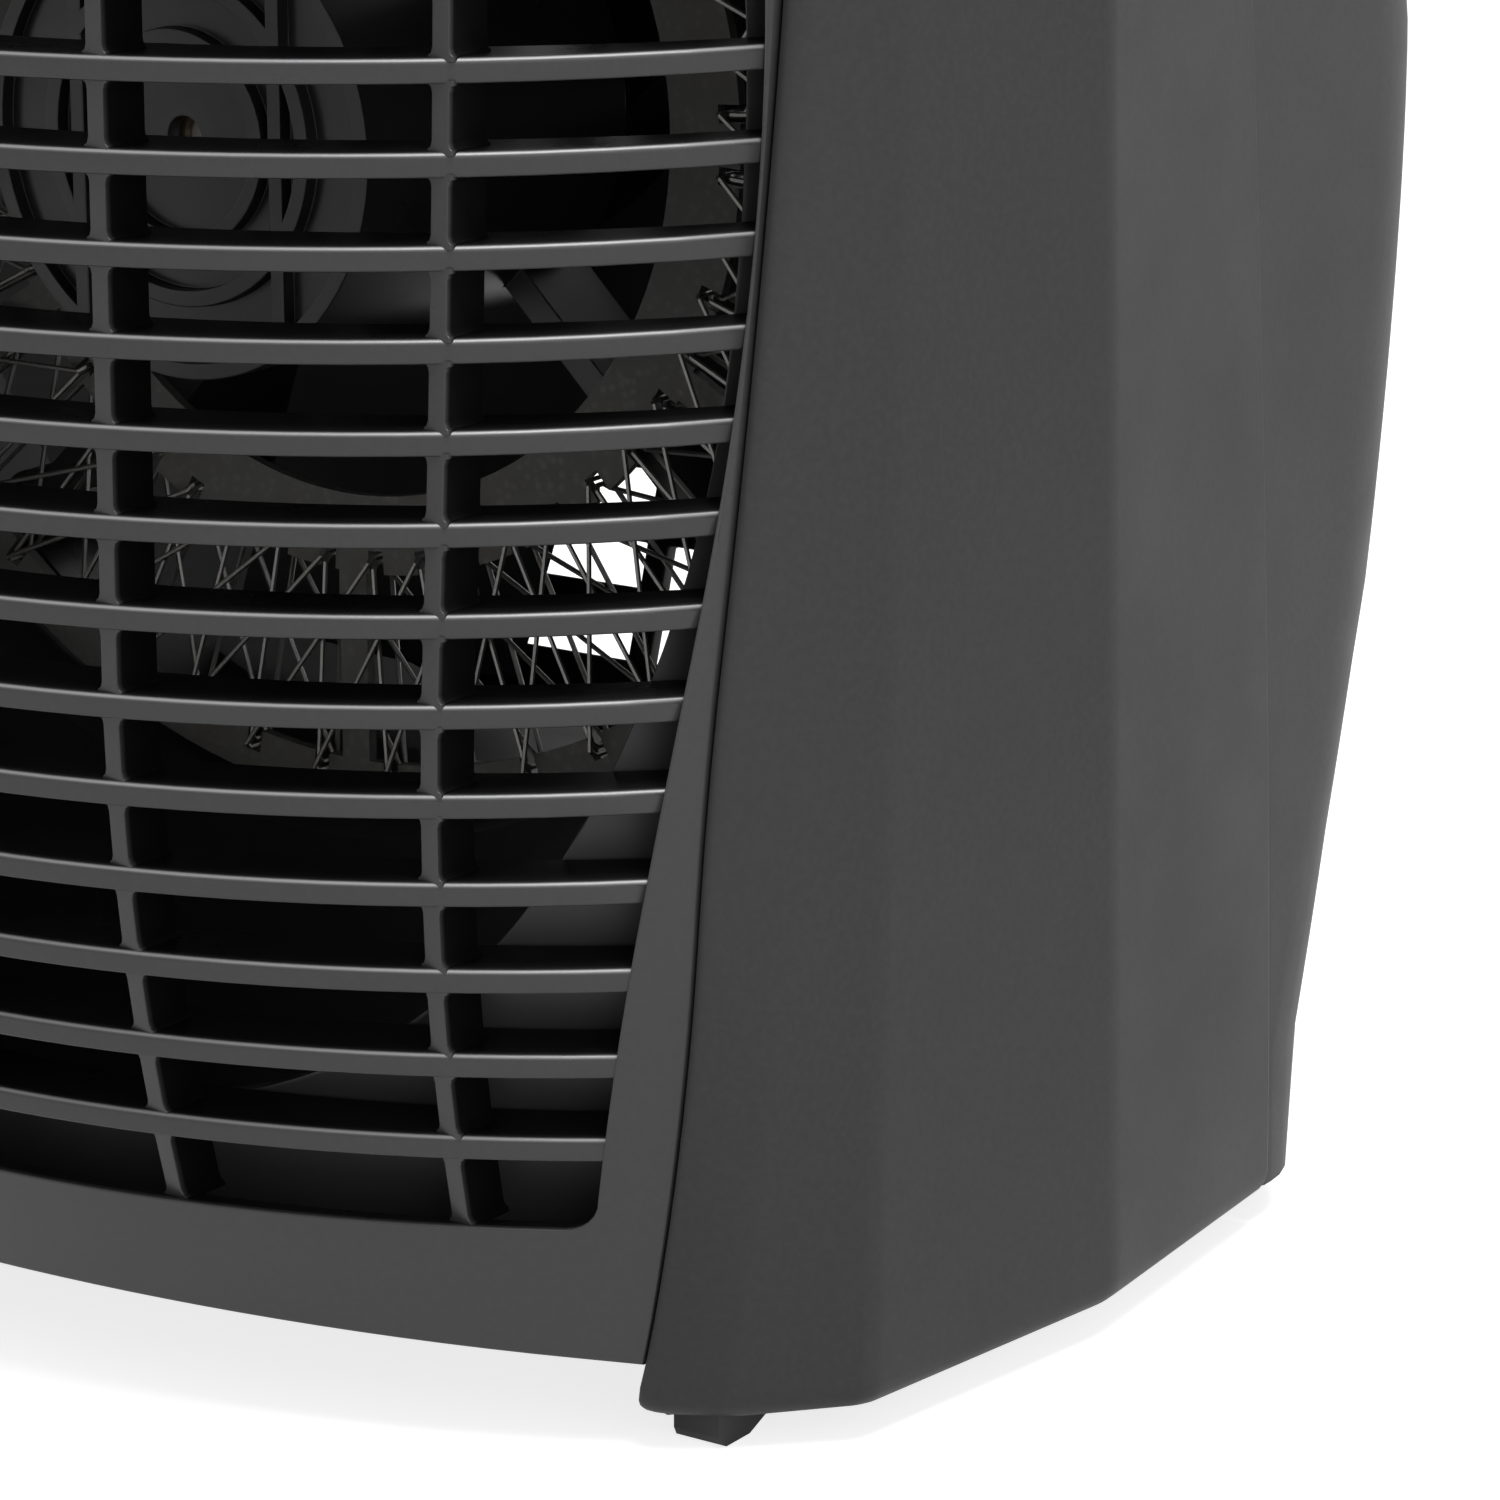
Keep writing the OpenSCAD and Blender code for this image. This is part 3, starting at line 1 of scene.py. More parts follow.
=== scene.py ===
"""Looks of a compact upright fan heater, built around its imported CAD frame.

Lengths in the classes are in millimetres, in the frame of the CAD: +X to the right of someone who faces
the grille, -Y to the front and +Z up, with the origin on the ground under the middle of the body.
"""

import json
import logging
import math
from dataclasses import dataclass
from enum import Enum
from functools import cached_property
from itertools import zip_longest
from typing import Any, Iterable, Sequence

import bmesh
import bpy
from mathutils import Matrix, Vector

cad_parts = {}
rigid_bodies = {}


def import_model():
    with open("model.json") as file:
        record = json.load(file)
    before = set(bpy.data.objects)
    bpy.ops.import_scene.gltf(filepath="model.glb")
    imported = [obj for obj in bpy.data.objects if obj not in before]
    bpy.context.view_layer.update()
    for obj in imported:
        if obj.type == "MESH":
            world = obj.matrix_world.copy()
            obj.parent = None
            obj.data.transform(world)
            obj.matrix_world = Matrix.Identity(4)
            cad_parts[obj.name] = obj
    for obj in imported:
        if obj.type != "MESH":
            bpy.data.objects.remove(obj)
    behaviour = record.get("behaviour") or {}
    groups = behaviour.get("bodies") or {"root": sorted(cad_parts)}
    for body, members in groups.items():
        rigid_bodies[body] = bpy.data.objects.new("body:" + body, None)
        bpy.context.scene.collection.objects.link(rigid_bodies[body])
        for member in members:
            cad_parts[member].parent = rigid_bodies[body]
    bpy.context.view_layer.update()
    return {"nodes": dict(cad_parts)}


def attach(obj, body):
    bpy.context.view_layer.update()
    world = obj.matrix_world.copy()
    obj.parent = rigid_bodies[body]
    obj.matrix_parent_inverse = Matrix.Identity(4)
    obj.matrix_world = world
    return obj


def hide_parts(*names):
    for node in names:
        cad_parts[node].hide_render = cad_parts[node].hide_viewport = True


MM = 0.001
TINY = 1e-6
BOTH = (-1, 1)
BACKWARD = (0, 1, 0)
WHITE = (1.0, 1.0, 1.0)
Point = Sequence[float]
Colour = tuple[float, ...]
Mesh = bmesh.types.BMesh
Object = bpy.types.Object
log = logging.getLogger("fan_heater")


class Side(Enum):
    """Which side of the heater a mirrored piece is on, seen by someone who faces the grille."""

    LEFT = -1
    RIGHT = 1


class Body(Enum):
    """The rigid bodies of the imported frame."""

    CASING = "casing"
    FAN = "fan"
    SELECTOR = "selector"
    DIAL = "thermostat_dial"


# ---------------------------------------------------------------- numbers


def lerp(a: float, b: float, t: float) -> float:
    """Give the number a share t of the way from a to b."""
    return a + (b - a) * t


def clamp01(t: float) -> float:
    """Hold a number between 0 and 1."""
    return min(1.0, max(0.0, t))


def steps(a: float, b: float, count: int) -> list[float]:
    """Give count + 1 even numbers from a to b."""
    return [lerp(a, b, i / count) for i in range(count + 1)]


def arc(start: float, end: float, count: int) -> list[tuple[float, float]]:
    """Give the cosine and sine of count + 1 even angles between two angles in degrees."""
    return [(math.cos(a), math.sin(a)) for a in steps(math.radians(start), math.radians(end), count)]


def curve(a: Vector, pull: Vector, b: Vector, count: int) -> list[Vector]:
    """Give count + 1 points on a curve from a to b that leans towards a third point."""
    return [(1 - t) ** 2 * a + 2 * t * (1 - t) * pull + t * t * b for t in steps(0, 1, count)]


def rounded_corner(before: Vector, corner: Vector, after: Vector, reach: float, count: int) -> list[Vector]:
    """Round one corner of a path.

    Args:
        before: The path's point before the corner.
        corner: The corner.
        after: The point after it.
        reach: How far from the corner the rounding starts.
        count: Number of parts of the rounding.

    Returns:
        Points along the rounding.
    """
    a, b = (corner + (p - corner).normalized() * reach for p in (before, after))
    return curve(a, corner, b, count)


def offset_path(path: Sequence[Vector], w: float) -> list[Vector]:
    """Move an open path in plan to its left, with mitred corners.

    Args:
        path: Points in plan.
        w: How far to move it.

    Returns:
        As many points as the path has.
    """
    normals = []
    for a, b in zip(path, path[1:]):
        d = (b - a).normalized()
        normals.append(Vector((-d.y, d.x)))
    moved = [path[0] + w * normals[0]]
    for at, n, m in zip(path[1:], normals, normals[1:]):
        moved.append(at + w * (n + m) / (1.0 + n.dot(m)))
    return moved + [path[-1] + w * normals[-1]]


# ---------------------------------------------------------------- the heater's form


@dataclass(frozen=True)
class BodyForm:
    """The governing lines of the casing, with the values of the CAD source.

    A side shell's three facet lines are given by how far in from the widest line they are at the foot, how
    much further in at the top, and their depth. The first one also moves back as it rises.
    """

    body_w: float = 174.0
    body_d: float = 165.0
    shell_top: float = 214.0
    shell_gap: float = 4.0
    seam: float = 0.25
    panel_w: float = 141.6
    panel_bottom: float = 11.0
    panel_t: float = 2.4
    toe_in: float = 11.5
    toe_h: float = 75.0
    bow_low: float = 18.0
    bow_high: float = 49.0
    corner_in: float = 6.5
    corner_h: float = 50.0
    facet_in: tuple[float, ...] = (5.0, 0.0, 3.0)
    facet_lean: tuple[float, ...] = (5.8, 4.7, 11.5)
    facet_d: tuple[float, ...] = (42.0, 77.0, 113.0)
    facet_sweep: float = 15.0
    edge_curve: float = 1.5
    rear_step: float = 0.8
    rear_r: float = 25.0
    rear_mid: float = 118.0
    rear_drop: float = 30.0
    rear_curve: float = 1.4
    rear_spare: float = 0.02
    rear_flat_x: float = 46.6
    rear_side_d: float = 115.0
    tuck: float = 16.0
    tuck_top: float = 62.0
    tuck_h: float = 36.0
    axis_z: float = 112.0
    base_z: float = 11.0
    base_top: float = 13.2
    side_wall: float = 2.2
    boss_r: float = 4.5
    boss_sunk: float = 1.0
    base_screws: tuple[float, ...] = (66.0, 98.0)
    cover_rounds: tuple[tuple[float, int], ...] = ((2.0, 4), (2.5, 4), (2.5, 4), (0.3, 2))

    def depth(self, d: float) -> float:
        """Turn a depth behind the grille's foremost line into Y."""
        return d - self.body_d / 2

    def front_line(self, z: float) -> float:
        """Give Y of the panel's middle line at a height."""
        low = clamp01((self.toe_h - z) / (self.toe_h - self.panel_bottom))
        return self.depth(self.toe_in * low**2)

    def edge_x(self, z: float) -> float:
        """Give X of the joint between panel and side shell at a height."""
        low = clamp01((self.corner_h - z) / (self.corner_h - self.shell_gap))
        return self.panel_w / 2 - self.corner_in * low**2

    def panel_y(self, x: float, z: float) -> float:
        """Give Y of the panel's front surface, which bows back to its edges, most at the top."""
        t = clamp01((z - self.panel_bottom) / (self.shell_top - self.panel_bottom))
        bow = lerp(self.bow_low, self.bow_high, 1 - (1 - t) ** 2)
        r = (self.edge_x(z) ** 2 + bow**2) / (2 * bow)
        return self.front_line(z) + r - math.sqrt(max(1.0, r * r - x * x))

    def facets(self, z: float) -> list[Vector]:
        """Give the places in plan, at a height, of the two facet lines and of the rear edge."""
        t = (z - self.shell_gap) / (self.shell_top - self.shell_gap)
        leans = (t, t, max(0.0, t) ** self.edge_curve)
        sweeps = (self.facet_sweep * t, 0.0, 0.0)
        rows = zip(self.facet_in, self.facet_lean, leans, self.facet_d, sweeps)
        return [Vector((self.body_w / 2 - i - k * lean, self.depth(d + s))) for i, k, lean, d, s in rows]

    def base_screw_x(self, d: float) -> float:
        """Give X of the base screw at a depth on the right side."""
        y, (a, b, c) = self.depth(d), self.facets(self.base_z)
        p, q = (a, b) if y < b.y else (b, c)
        wall_x = lerp(p.x, q.x, (y - p.y) / (q.y - p.y)) - self.side_wall
        return wall_x - self.boss_r + self.boss_sunk

    def back_d(self, z: float) -> float:
        """Give the depth of the rear cover's back at a height."""
        away = abs(z - self.rear_mid) / (self.rear_mid - self.shell_gap)
        return self.body_d - self.rear_spare - self.rear_drop * away**self.rear_curve

    def rear_corner(self, z: float, count: int) -> list[Vector]:
        """Give the rounding of the rear cover's right corner, which is tucked in near the foot."""
        x = self.facets(z)[2].x - self.rear_step
        r = min(self.rear_r, self.back_d(z) - self.rear_side_d)
        w = min(r + self.tuck * clamp01((self.tuck_top - z) / self.tuck_h), x - self.rear_flat_x)
        middle = Vector((x - w, self.depth(self.back_d(z)) - r))
        return [middle + Vector((w * c, r * s)) for c, s in arc(0, 90, count)]

    def cover_outline(self) -> list[Vector]:
        """Give the top cover's outline in plan, from its front round by the right."""
        z = self.shell_top
        front = [Vector((x, self.panel_y(x, z))) for x in steps(0, self.edge_x(z), 26)]
        corner = self.rear_corner(z, 12)
        turns = [*front[-2:], *self.facets(z), corner[0]]
        path = front[:-1]
        for i, (reach, count) in enumerate(self.cover_rounds):
            path += rounded_corner(*turns[i : i + 3], reach, count)
        path += corner
        return path + [Vector((-p.x, p.y)) for p in reversed(path) if p.x > TINY]


FORM = BodyForm()


# ---------------------------------------------------------------- meshes


def ring(bm: Mesh, points: Iterable[Point], closed: bool = True, painted_lights: Sequence[float] = ()) -> list[Any]:
    """Draw a chain of edges through points in millimetres.

    Args:
        bm: The mesh to draw in.
        points: Places in the row frame.
        closed: Whether the last point joins the first.
        painted_lights: The painted light at each point, if the mesh has it: painted shade up to 1, a painted
            highlight down to -1.

    Returns:
        The new edges, in order.
    """
    verts = [bm.verts.new(Vector(p) * MM) for p in points]
    for vert, painted_light in zip(verts, painted_lights):
        vert[bm.verts.layers.float["painted_light"]] = painted_light
    ends = verts[1:] + (verts[:1] if closed else [])
    return [bm.edges.new(pair) for pair in zip(verts, ends)]


def toned_mesh() -> Mesh:
    """Start a mesh that carries painted light: 0 on faces, 1 for painted shade in the depth behind them and
    -1 for a painted highlight on edges.
    """
    bm = bmesh.new()
    bm.verts.layers.float.new("painted_light")
    return bm


def loft(
    bm: Mesh, rows: Sequence[Sequence[Point]], caps: Sequence[int] = (0, -1), around: bool = False,
    closed: bool = True, painted_lights: Sequence[Sequence[float]] = (),
) -> None:
    """Skin neighbouring rows of points in millimetres.

    Args:
        bm: The mesh to add the skin to.
        rows: The rows, with equal numbers of points.
        caps: Which rows are closed with a face.
        around: Whether the last row joins the first, which leaves no rows to close.
        closed: Whether each row's last point joins its first.
        painted_lights: The painted light at each point of each row, if the mesh has it: painted shade up to
            1, a painted highlight down to -1.
    """
    rings = [ring(bm, row, closed, painted_light) for row, painted_light in zip_longest(rows, painted_lights, fillvalue=())]
    for a, b in zip(rings, rings[1:] + (rings[:1] if around else [])):
        bmesh.ops.bridge_loops(bm, edges=a + b)
    for i in () if around else caps:
        bmesh.ops.contextual_create(bm, geom=rings[i])


def shift(at: Point) -> Matrix:
    """Give the move to a point in millimetres."""
    return Matrix.Translation(Vector(at) * MM)


def turn_z(angle: float) -> Matrix:
    """Give a turn about Z."""
    return Matrix.Rotation(angle, 4, "Z")


def turn_to(axis: Point) -> Matrix:
    """Give the turn that takes +Z to an axis."""
    return Vector((0, 0, 1)).rotation_difference(Vector(axis)).to_matrix().to_4x4()


def cube(bm: Mesh, place: Matrix, size: Point) -> list[Any]:
    """Add a box of a size in millimetres, with its middle at a place, and give its corners."""
    matrix = place @ Matrix.Diagonal((*(Vector(size) * MM), 1.0))
    return bmesh.ops.create_cube(bm, size=1.0, matrix=matrix)["verts"]


def soften_edges(bm: Mesh, edges: Iterable[Any], radius: float, segments: int = 2) -> None:
    """Round the given edges by a radius in millimetres."""
    bmesh.ops.bevel(
        bm, geom=list(dict.fromkeys(edges)), offset=radius * MM, offset_type="OFFSET",
        segments=segments, profile=0.5, affect="EDGES", clamp_overlap=True, material=-1,
    )


def soften_box(bm: Mesh, corners: Iterable[Any], radius: float, segments: int = 2) -> None:
    """Round all edges of a box that is given by its corners."""
    soften_edges(bm, (e for v in corners for e in v.link_edges), radius, segments)


def sharp_edges(bm: Mesh, least_angle: float) -> list[Any]:
    """Give the edges whose two faces turn by more than an angle in degrees."""
    least = math.radians(least_angle)
    return [e for e in bm.edges if len(e.link_faces) == 2 and e.calc_face_angle(0.0) > least]


def outward(bm: Mesh) -> None:
    """Turn all faces of a closed mesh outwards."""
    bmesh.ops.recalc_face_normals(bm, faces=bm.faces)


def lathe(
    bm: Mesh, profile: Sequence[Point], centre: Point, axis: Point = (0, 0, 1), count: int = 64
) -> None:
    """Turn a profile about an axis.

    Args:
        bm: The mesh to add it to.
        profile: Pairs of radius and height along the axis, in millimetres.
        centre: The axis's foot.
        axis: Its direction.
        count: Number of parts of the full turn.
    """
    place = shift(centre) @ turn_to(axis)
    verts = [bm.verts.new(place @ (Vector((r, 0, h)) * MM)) for r, h in profile]
    edges = [bm.edges.new(pair) for pair in zip(verts, verts[1:])]
    bmesh.ops.spin(
        bm, geom=verts + edges, cent=Vector(centre) * MM, axis=Vector(axis), angle=math.tau,
        steps=count, use_merge=True, use_duplicate=False,
    )


def tube(bm: Mesh, path: Sequence[Vector], radius: float, count: int = 6) -> None:
    """Lay a closed tube along a path.

    Args:
        bm: The mesh to add it to.
        path: Points along its middle, in millimetres.
        radius: Its radius.
        count: Number of its sides.
    """
    across = (path[1] - path[0]).orthogonal().normalized()
    rows = []
    for i, at in enumerate(path):
        after = (path[i + 1] - at).normalized() if i + 1 < len(path) else (at - path[i - 1]).normalized()
        before = (at - path[i - 1]).normalized() if i else after
        along = (before + after).normalized()
        across = (across - along * across.dot(along)).normalized()
        other = along.cross(across)
        rows.append([at + radius * (across * c + other * s) for c, s in arc(0, 360, count)[:-1]])
    loft(bm, rows)


def loose_object(bm: Mesh, name: str) -> Object:
    """Put a mesh in the scene as an object that is no piece yet. The mesh is used up."""
    mesh = bpy.data.meshes.new(name)
    bm.to_mesh(mesh)
    bm.free()
    obj = bpy.data.objects.new(name, mesh)
    bpy.context.scene.collection.objects.link(obj)
    return obj


def taken(obj: Object) -> bpy.types.Mesh:
    """Give an object's shape with its modifiers applied, and delete the object."""
    bpy.context.view_layer.update()
    mesh = bpy.data.meshes.new_from_object(obj.evaluated_get(bpy.context.evaluated_depsgraph_get()))
    bpy.data.batch_remove([obj, obj.data])
    return mesh


def reopened(mesh: bpy.types.Mesh) -> Mesh:
    """Open a mesh for modelling, and delete the old one."""
    bm = bmesh.new()
    bm.from_mesh(mesh)
    bpy.data.meshes.remove(mesh)
    return bm


def stamp(bm: Mesh, mesh: bpy.types.Mesh, place: Matrix) -> None:
    """Add a copy of a mesh at a place."""
    copy = mesh.copy()
    copy.transform(place)
    bm.from_mesh(copy)
    bpy.data.meshes.remove(copy)


def carve(bm: Mesh, cutter: Mesh) -> Mesh:
    """Take one closed mesh away from another.

    Args:
        bm: The mesh that is cut. It is used up.
        cutter: What is taken away. It is used up too.

    Returns:
        The cut mesh.
    """
    outward(cutter)
    body, tool = loose_object(bm, "cut_body"), loose_object(cutter, "cut_tool")
    modifier = body.modifiers.new("cut", "BOOLEAN")
    modifier.operation, modifier.solver, modifier.object = "DIFFERENCE", "EXACT", tool
    made = reopened(taken(body))
    bpy.data.batch_remove([tool, tool.data])
    return made


def drill(bm: Mesh, holes: Iterable[tuple[Point, float]], axis: Point, length: float) -> Mesh:
    """Bore round holes in a closed mesh.

    Args:
        bm: The mesh, which is used up.
        holes: Each hole's start and radius, in millimetres.
        axis: The direction of all the holes.
        length: How far they go.

    Returns:
        The bored mesh.
    """
    cutter = bmesh.new()
    for at, r in holes:
        lathe(cutter, [(0, 0), (r, 0), (r, length), (0, length)], at, axis, count=40)
    return carve(bm, cutter)


def walled(skin: Mesh, thickness: float, soft: float = 0.0) -> Mesh:
    """Give a skin a wall on its inner side.

    Args:
        skin: The skin, which is used up.
        thickness: The wall's thickness in millimetres.
        soft: Radius of the rounding of its sharp edges.

    Returns:
        The closed mesh.
    """
    obj = loose_object(skin, "skin")
    wall = obj.modifiers.new("wall", "SOLIDIFY")
    wall.thickness, wall.offset, wall.use_even_offset = thickness * MM, -1.0, True
    if soft > 0:
        bevel = obj.modifiers.new("soft", "BEVEL")
        bevel.width, bevel.segments, bevel.limit_method = soft * MM, 2, "ANGLE"
        bevel.angle_limit = math.radians(60)
    return reopened(taken(obj))


# ---------------------------------------------------------------- finishes


class Graph:
    """A hand for building the node tree of a material or a world around one shader."""

    def __init__(self, owner: Any, shader: str = "BsdfPrincipled", output: str = "OutputMaterial") -> None:
        """Start the owner's tree anew, with a shader that feeds its output."""
        owner.use_nodes = True
        self.tree = owner.node_tree
        self.tree.nodes.clear()
        self.shader = self.tree.nodes.new("ShaderNode" + shader)
        self.node(output, None, {"Surface": self.shader.outputs[0]})

    def node(self, kind: str, out: Any = 0, inputs: dict[Any, Any] | None = None, **settings: Any) -> Any:
        """Add a node.

        Args:
            kind: What it is.
            out: Name or number of the output that is wanted, or None.
            inputs: What feeds its inputs, by their names or numbers: outputs of other nodes or values.
            **settings: Its other properties.

        Returns:
            The wanted output.
        """
        node = self.tree.nodes.new("ShaderNode" + kind)
        for key, value in settings.items():
            setattr(node, key, value)
        for key, value in (inputs or {}).items():
            self.feed(node.inputs[key], value)
        return None if out is None else node.outputs[out]

    def feed(self, socket: Any, value: Any) -> None:
        """Link a node's output to an input, or set the input's own value."""
        if isinstance(value, bpy.types.NodeSocket):
            self.tree.links.new(value, socket)
        else:
            socket.default_value = (*value, 1.0) if socket.type == "RGBA" else value

    def set(self, **values: Any) -> None:
        """Set the shader's inputs, named with underscores for spaces."""
        for key, value in values.items():
            self.feed(self.shader.inputs[key.replace("_", " ")], value)

    @cached_property
    def place(self) -> Any:
        """The object's own coordinates."""
        return self.node("TexCoord", "Object")

    def stretched(self, scale: Point, turn: Point = (0.0, 0.0, 0.0)) -> Any:
        """Give the object's coordinates turned and scaled unevenly."""
        return self.node("Mapping", 0, {"Vector": self.place, "Scale": scale, "Rotation": turn})

    def noise(self, scale: float, detail: float = 2.0, rough: float = 0.5, at: Any = None) -> Any:
        """Give a noise from 0 to 1 with features of 1/scale metres."""
        inputs = {"Vector": at or self.place, "Scale": scale, "Detail": detail, "Roughness": rough}
        return self.node("TexNoise", 0, inputs)

    def cells(self, scale: float) -> Any:
        """Give the distance to the nearest of many scattered points."""
        return self.node("TexVoronoi", "Distance", {"Vector": self.place, "Scale": scale})

    def waves(self, scale: float, at: Any = None, direction: str = "X") -> Any:
        """Give even bands of 1/scale metres."""
        inputs = {"Vector": at or self.place, "Scale": scale}
        return self.node("TexWave", "Fac", inputs, bands_direction=direction)

    def ranged(self, value: Any, low: float, high: float, start: float = 0.0, end: float = 1.0) -> Any:
        """Carry a value from start..end over to low..high."""
        inputs = {"Value": value, "From Min": start, "From Max": end, "To Min": low, "To Max": high}
        return self.node("MapRange", 0, inputs)

    def mix(self, share: Any, a: Any, b: Any) -> Any:
        """Mix two colours by a share from 0 to 1."""
        return self.node("Mix", 2, {0: share, 6: a, 7: b}, data_type="RGBA")

    def edges(self) -> Any:
        """Give 1 on outer edges and 0 on flats."""
        return self.ranged(self.node("NewGeometry", "Pointiness"), 0.0, 1.0, start=0.51, end=0.6)

    def bump(self, height: Any, strength: float, distance: float) -> Any:
        """Give a normal that follows a height."""
        return self.node("Bump", 0, {"Strength": strength, "Distance": distance, "Height": height})

    def seen(self) -> Any:
        """Give 1 for what the camera sees, directly, in gloss or through glass, and 0 otherwise."""
        total = self.node("LightPath", "Is Camera Ray")
        for name in ("Is Glossy Ray", "Is Transmission Ray"):
            inputs = {0: total, 1: self.node("LightPath", name)}
            total = self.node("Math", 0, inputs, operation="ADD", use_clamp=True)
        return total


@dataclass(frozen=True)
class Finish:
    """What a surface is made of: its name, colour, roughness and slot in the record."""

    name: str
    colour: Colour
    roughness: float = 0.45
    slot: str = ""

    def shade(self, g: Graph) -> None:
        """Build the finish's nodes in a graph."""
        raise NotImplementedError

    def tint(self, k: float) -> Colour:
        """Give the colour k times as bright."""
        return tuple(c * k for c in self.colour)

    def rough(
        self, g: Graph, value: Any, low: float, high: float, start: float = 0.0, end: float = 1.0
    ) -> Any:
        """Vary the roughness by low..high as a value goes from start to end."""
        return g.ranged(value, self.roughness + low, self.roughness + high, start, end)

    def material(self) -> bpy.types.Material:
        """Give the finish's material, which is built once."""
        found = bpy.data.materials.get(self.name)
        if found is None:
            found = bpy.data.materials.new(self.name)
            self.shade(Graph(found))
        return found


@dataclass(frozen=True)
class Moulded(Finish):
    """Moulded plastic: fine sparked grain, a faint flow mottle, smudges and paler worn edges. Where a mesh
    carries painted light, it also gets painted shade behind its faces and a painted highlight on its marked
    edges.
    """

    specular: float = 0.4
    grain: float = 0.10
    mottle: float = 0.06
    wear: float = 1.35
    # The next two fields set the painted light: the colour share left by the painted shade behind faces, and
    # the colour share of the painted highlight on edges.
    deep: float = 1.0
    rubbed: float = 1.0

    def shade(self, g: Graph) -> None:
        """Build the plastic's nodes. Where a mesh carries painted light, it gets painted shade behind its
        faces, with less gloss there, and a painted highlight on its marked edges.
        """
        cloud = g.mix(g.noise(26.0, detail=3.0), self.tint(1 - self.mottle), self.tint(1 + self.mottle))
        flecks = g.ranged(g.noise(1400.0, detail=1.0), 0.0, 1.0, start=0.35, end=0.75)
        colour = g.mix(g.edges(), g.mix(flecks, cloud, self.tint(1.12)), self.tint(self.wear))
        gloss = self.specular
        if self.deep < 1.0:
            # Painted shade: darker colour and less gloss behind the faces. Painted highlight: paler colour on
            # the marked edges.
            painted_light = g.node("Attribute", "Fac", attribute_name="painted_light")
            colour = g.mix(g.ranged(painted_light, 0.0, 1.0), colour, self.tint(self.deep))
            colour = g.mix(g.ranged(painted_light, 0.0, 1.0, end=-1.0), colour, self.tint(self.rubbed))
            gloss = g.ranged(painted_light, self.specular, 0.03)
        smudge = g.noise(55.0, detail=4.0, rough=0.6)
        g.set(
            Base_Color=colour, Specular_IOR_Level=gloss,
            Roughness=self.rough(g, smudge, -0.05, 0.05, start=0.3, end=0.7),
            Normal=g.bump(g.noise(2100.0, detail=1.0), self.grain, distance=3e-5),
        )


@dataclass(frozen=True)
class Rubber(Finish):
    """Soft foot rubber with a dusty, finely pitted skin."""

    def shade(self, g: Graph) -> None:
        """Build the rubber's nodes."""
        dust = g.ranged(g.noise(300.0, detail=4.0, rough=0.65), 0.0, 0.5, start=0.45, end=0.75)
        g.set(
            Base_Color=g.mix(dust, self.colour, self.tint(2.2)), Specular_IOR_Level=0.3,
            Roughness=self.rough(g, dust, 0.0, 0.15, end=0.5),
            Normal=g.bump(g.cells(1600.0), strength=0.25, distance=4e-5),
        )


@dataclass(frozen=True)
class Painted(Finish):
    """Sheet steel with a baked satin enamel that has a slight orange peel."""

    def shade(self, g: Graph) -> None:
        """Build the enamel's nodes."""
        cloud = g.mix(g.noise(40.0, detail=3.0), self.tint(0.93), self.tint(1.07))
        g.set(
            Base_Color=g.mix(g.edges(), cloud, self.tint(1.5)), Specular_IOR_Level=0.45,
            Roughness=self.rough(g, g.noise(90.0, detail=3.0), -0.06, 0.06),
            Normal=g.bump(g.noise(520.0), strength=0.12, distance=6e-5),
        )


@dataclass(frozen=True)
class Metal(Finish):
    """Bare metal with fine drawn lines along one axis and a little tarnish."""

    lines: Point = (30.0, 900.0, 900.0)
    tarnish: Colour = (0.2, 0.18, 0.16)
    tarnished: float = 0.35

    def shade(self, g: Graph) -> None:
        """Build the metal's nodes."""
        drawn = g.noise(1.0, detail=3.0, rough=0.6, at=g.stretched(self.lines))
        cloud = g.ranged(g.noise(140.0, detail=4.0, rough=0.6), 0.0, self.tarnished, start=0.45, end=0.75)
        g.set(
            Base_Color=g.mix(cloud, self.colour, self.tarnish), Metallic=1.0,
            Roughness=self.rough(g, drawn, -0.08, 0.12),
            Normal=g.bump(drawn, strength=0.15, distance=2e-5),
        )


@dataclass(frozen=True)
class Laminated(Finish):
    """A stack of stamped electrical steel sheets, seen on edge along the motor's axis."""

    rust: Colour = (0.16, 0.07, 0.03)

    def shade(self, g: Graph) -> None:
        """Build the stack's nodes."""
        sheets = g.waves(320.0, direction="Y")
        rusted = g.ranged(g.noise(260.0, detail=4.0, rough=0.7), 0.0, 0.4, start=0.55, end=0.75)
        g.set(
            Base_Color=g.mix(rusted, g.mix(sheets, self.tint(0.35), self.colour), self.rust),
            Metallic=0.85, Roughness=self.rough(g, sheets, 0.2, 0.0),
            Normal=g.bump(sheets, strength=0.5, distance=1e-4),
        )


@dataclass(frozen=True)
class Wound(Finish):
    """A coil of enamelled copper wire: close turns with a varnish gloss."""

    def shade(self, g: Graph) -> None:
        """Build the winding's nodes."""
        turns = g.waves(420.0, g.stretched((1.0, 0.04, 1.0), turn=(0.0, 0.35, 0.0)))
        g.set(
            Base_Color=g.mix(turns, self.tint(0.25), self.colour), Metallic=0.7,
            Roughness=self.roughness, Normal=g.bump(turns, strength=0.8, distance=2e-4),
            Coat_Weight=0.6, Coat_Roughness=0.2,
        )


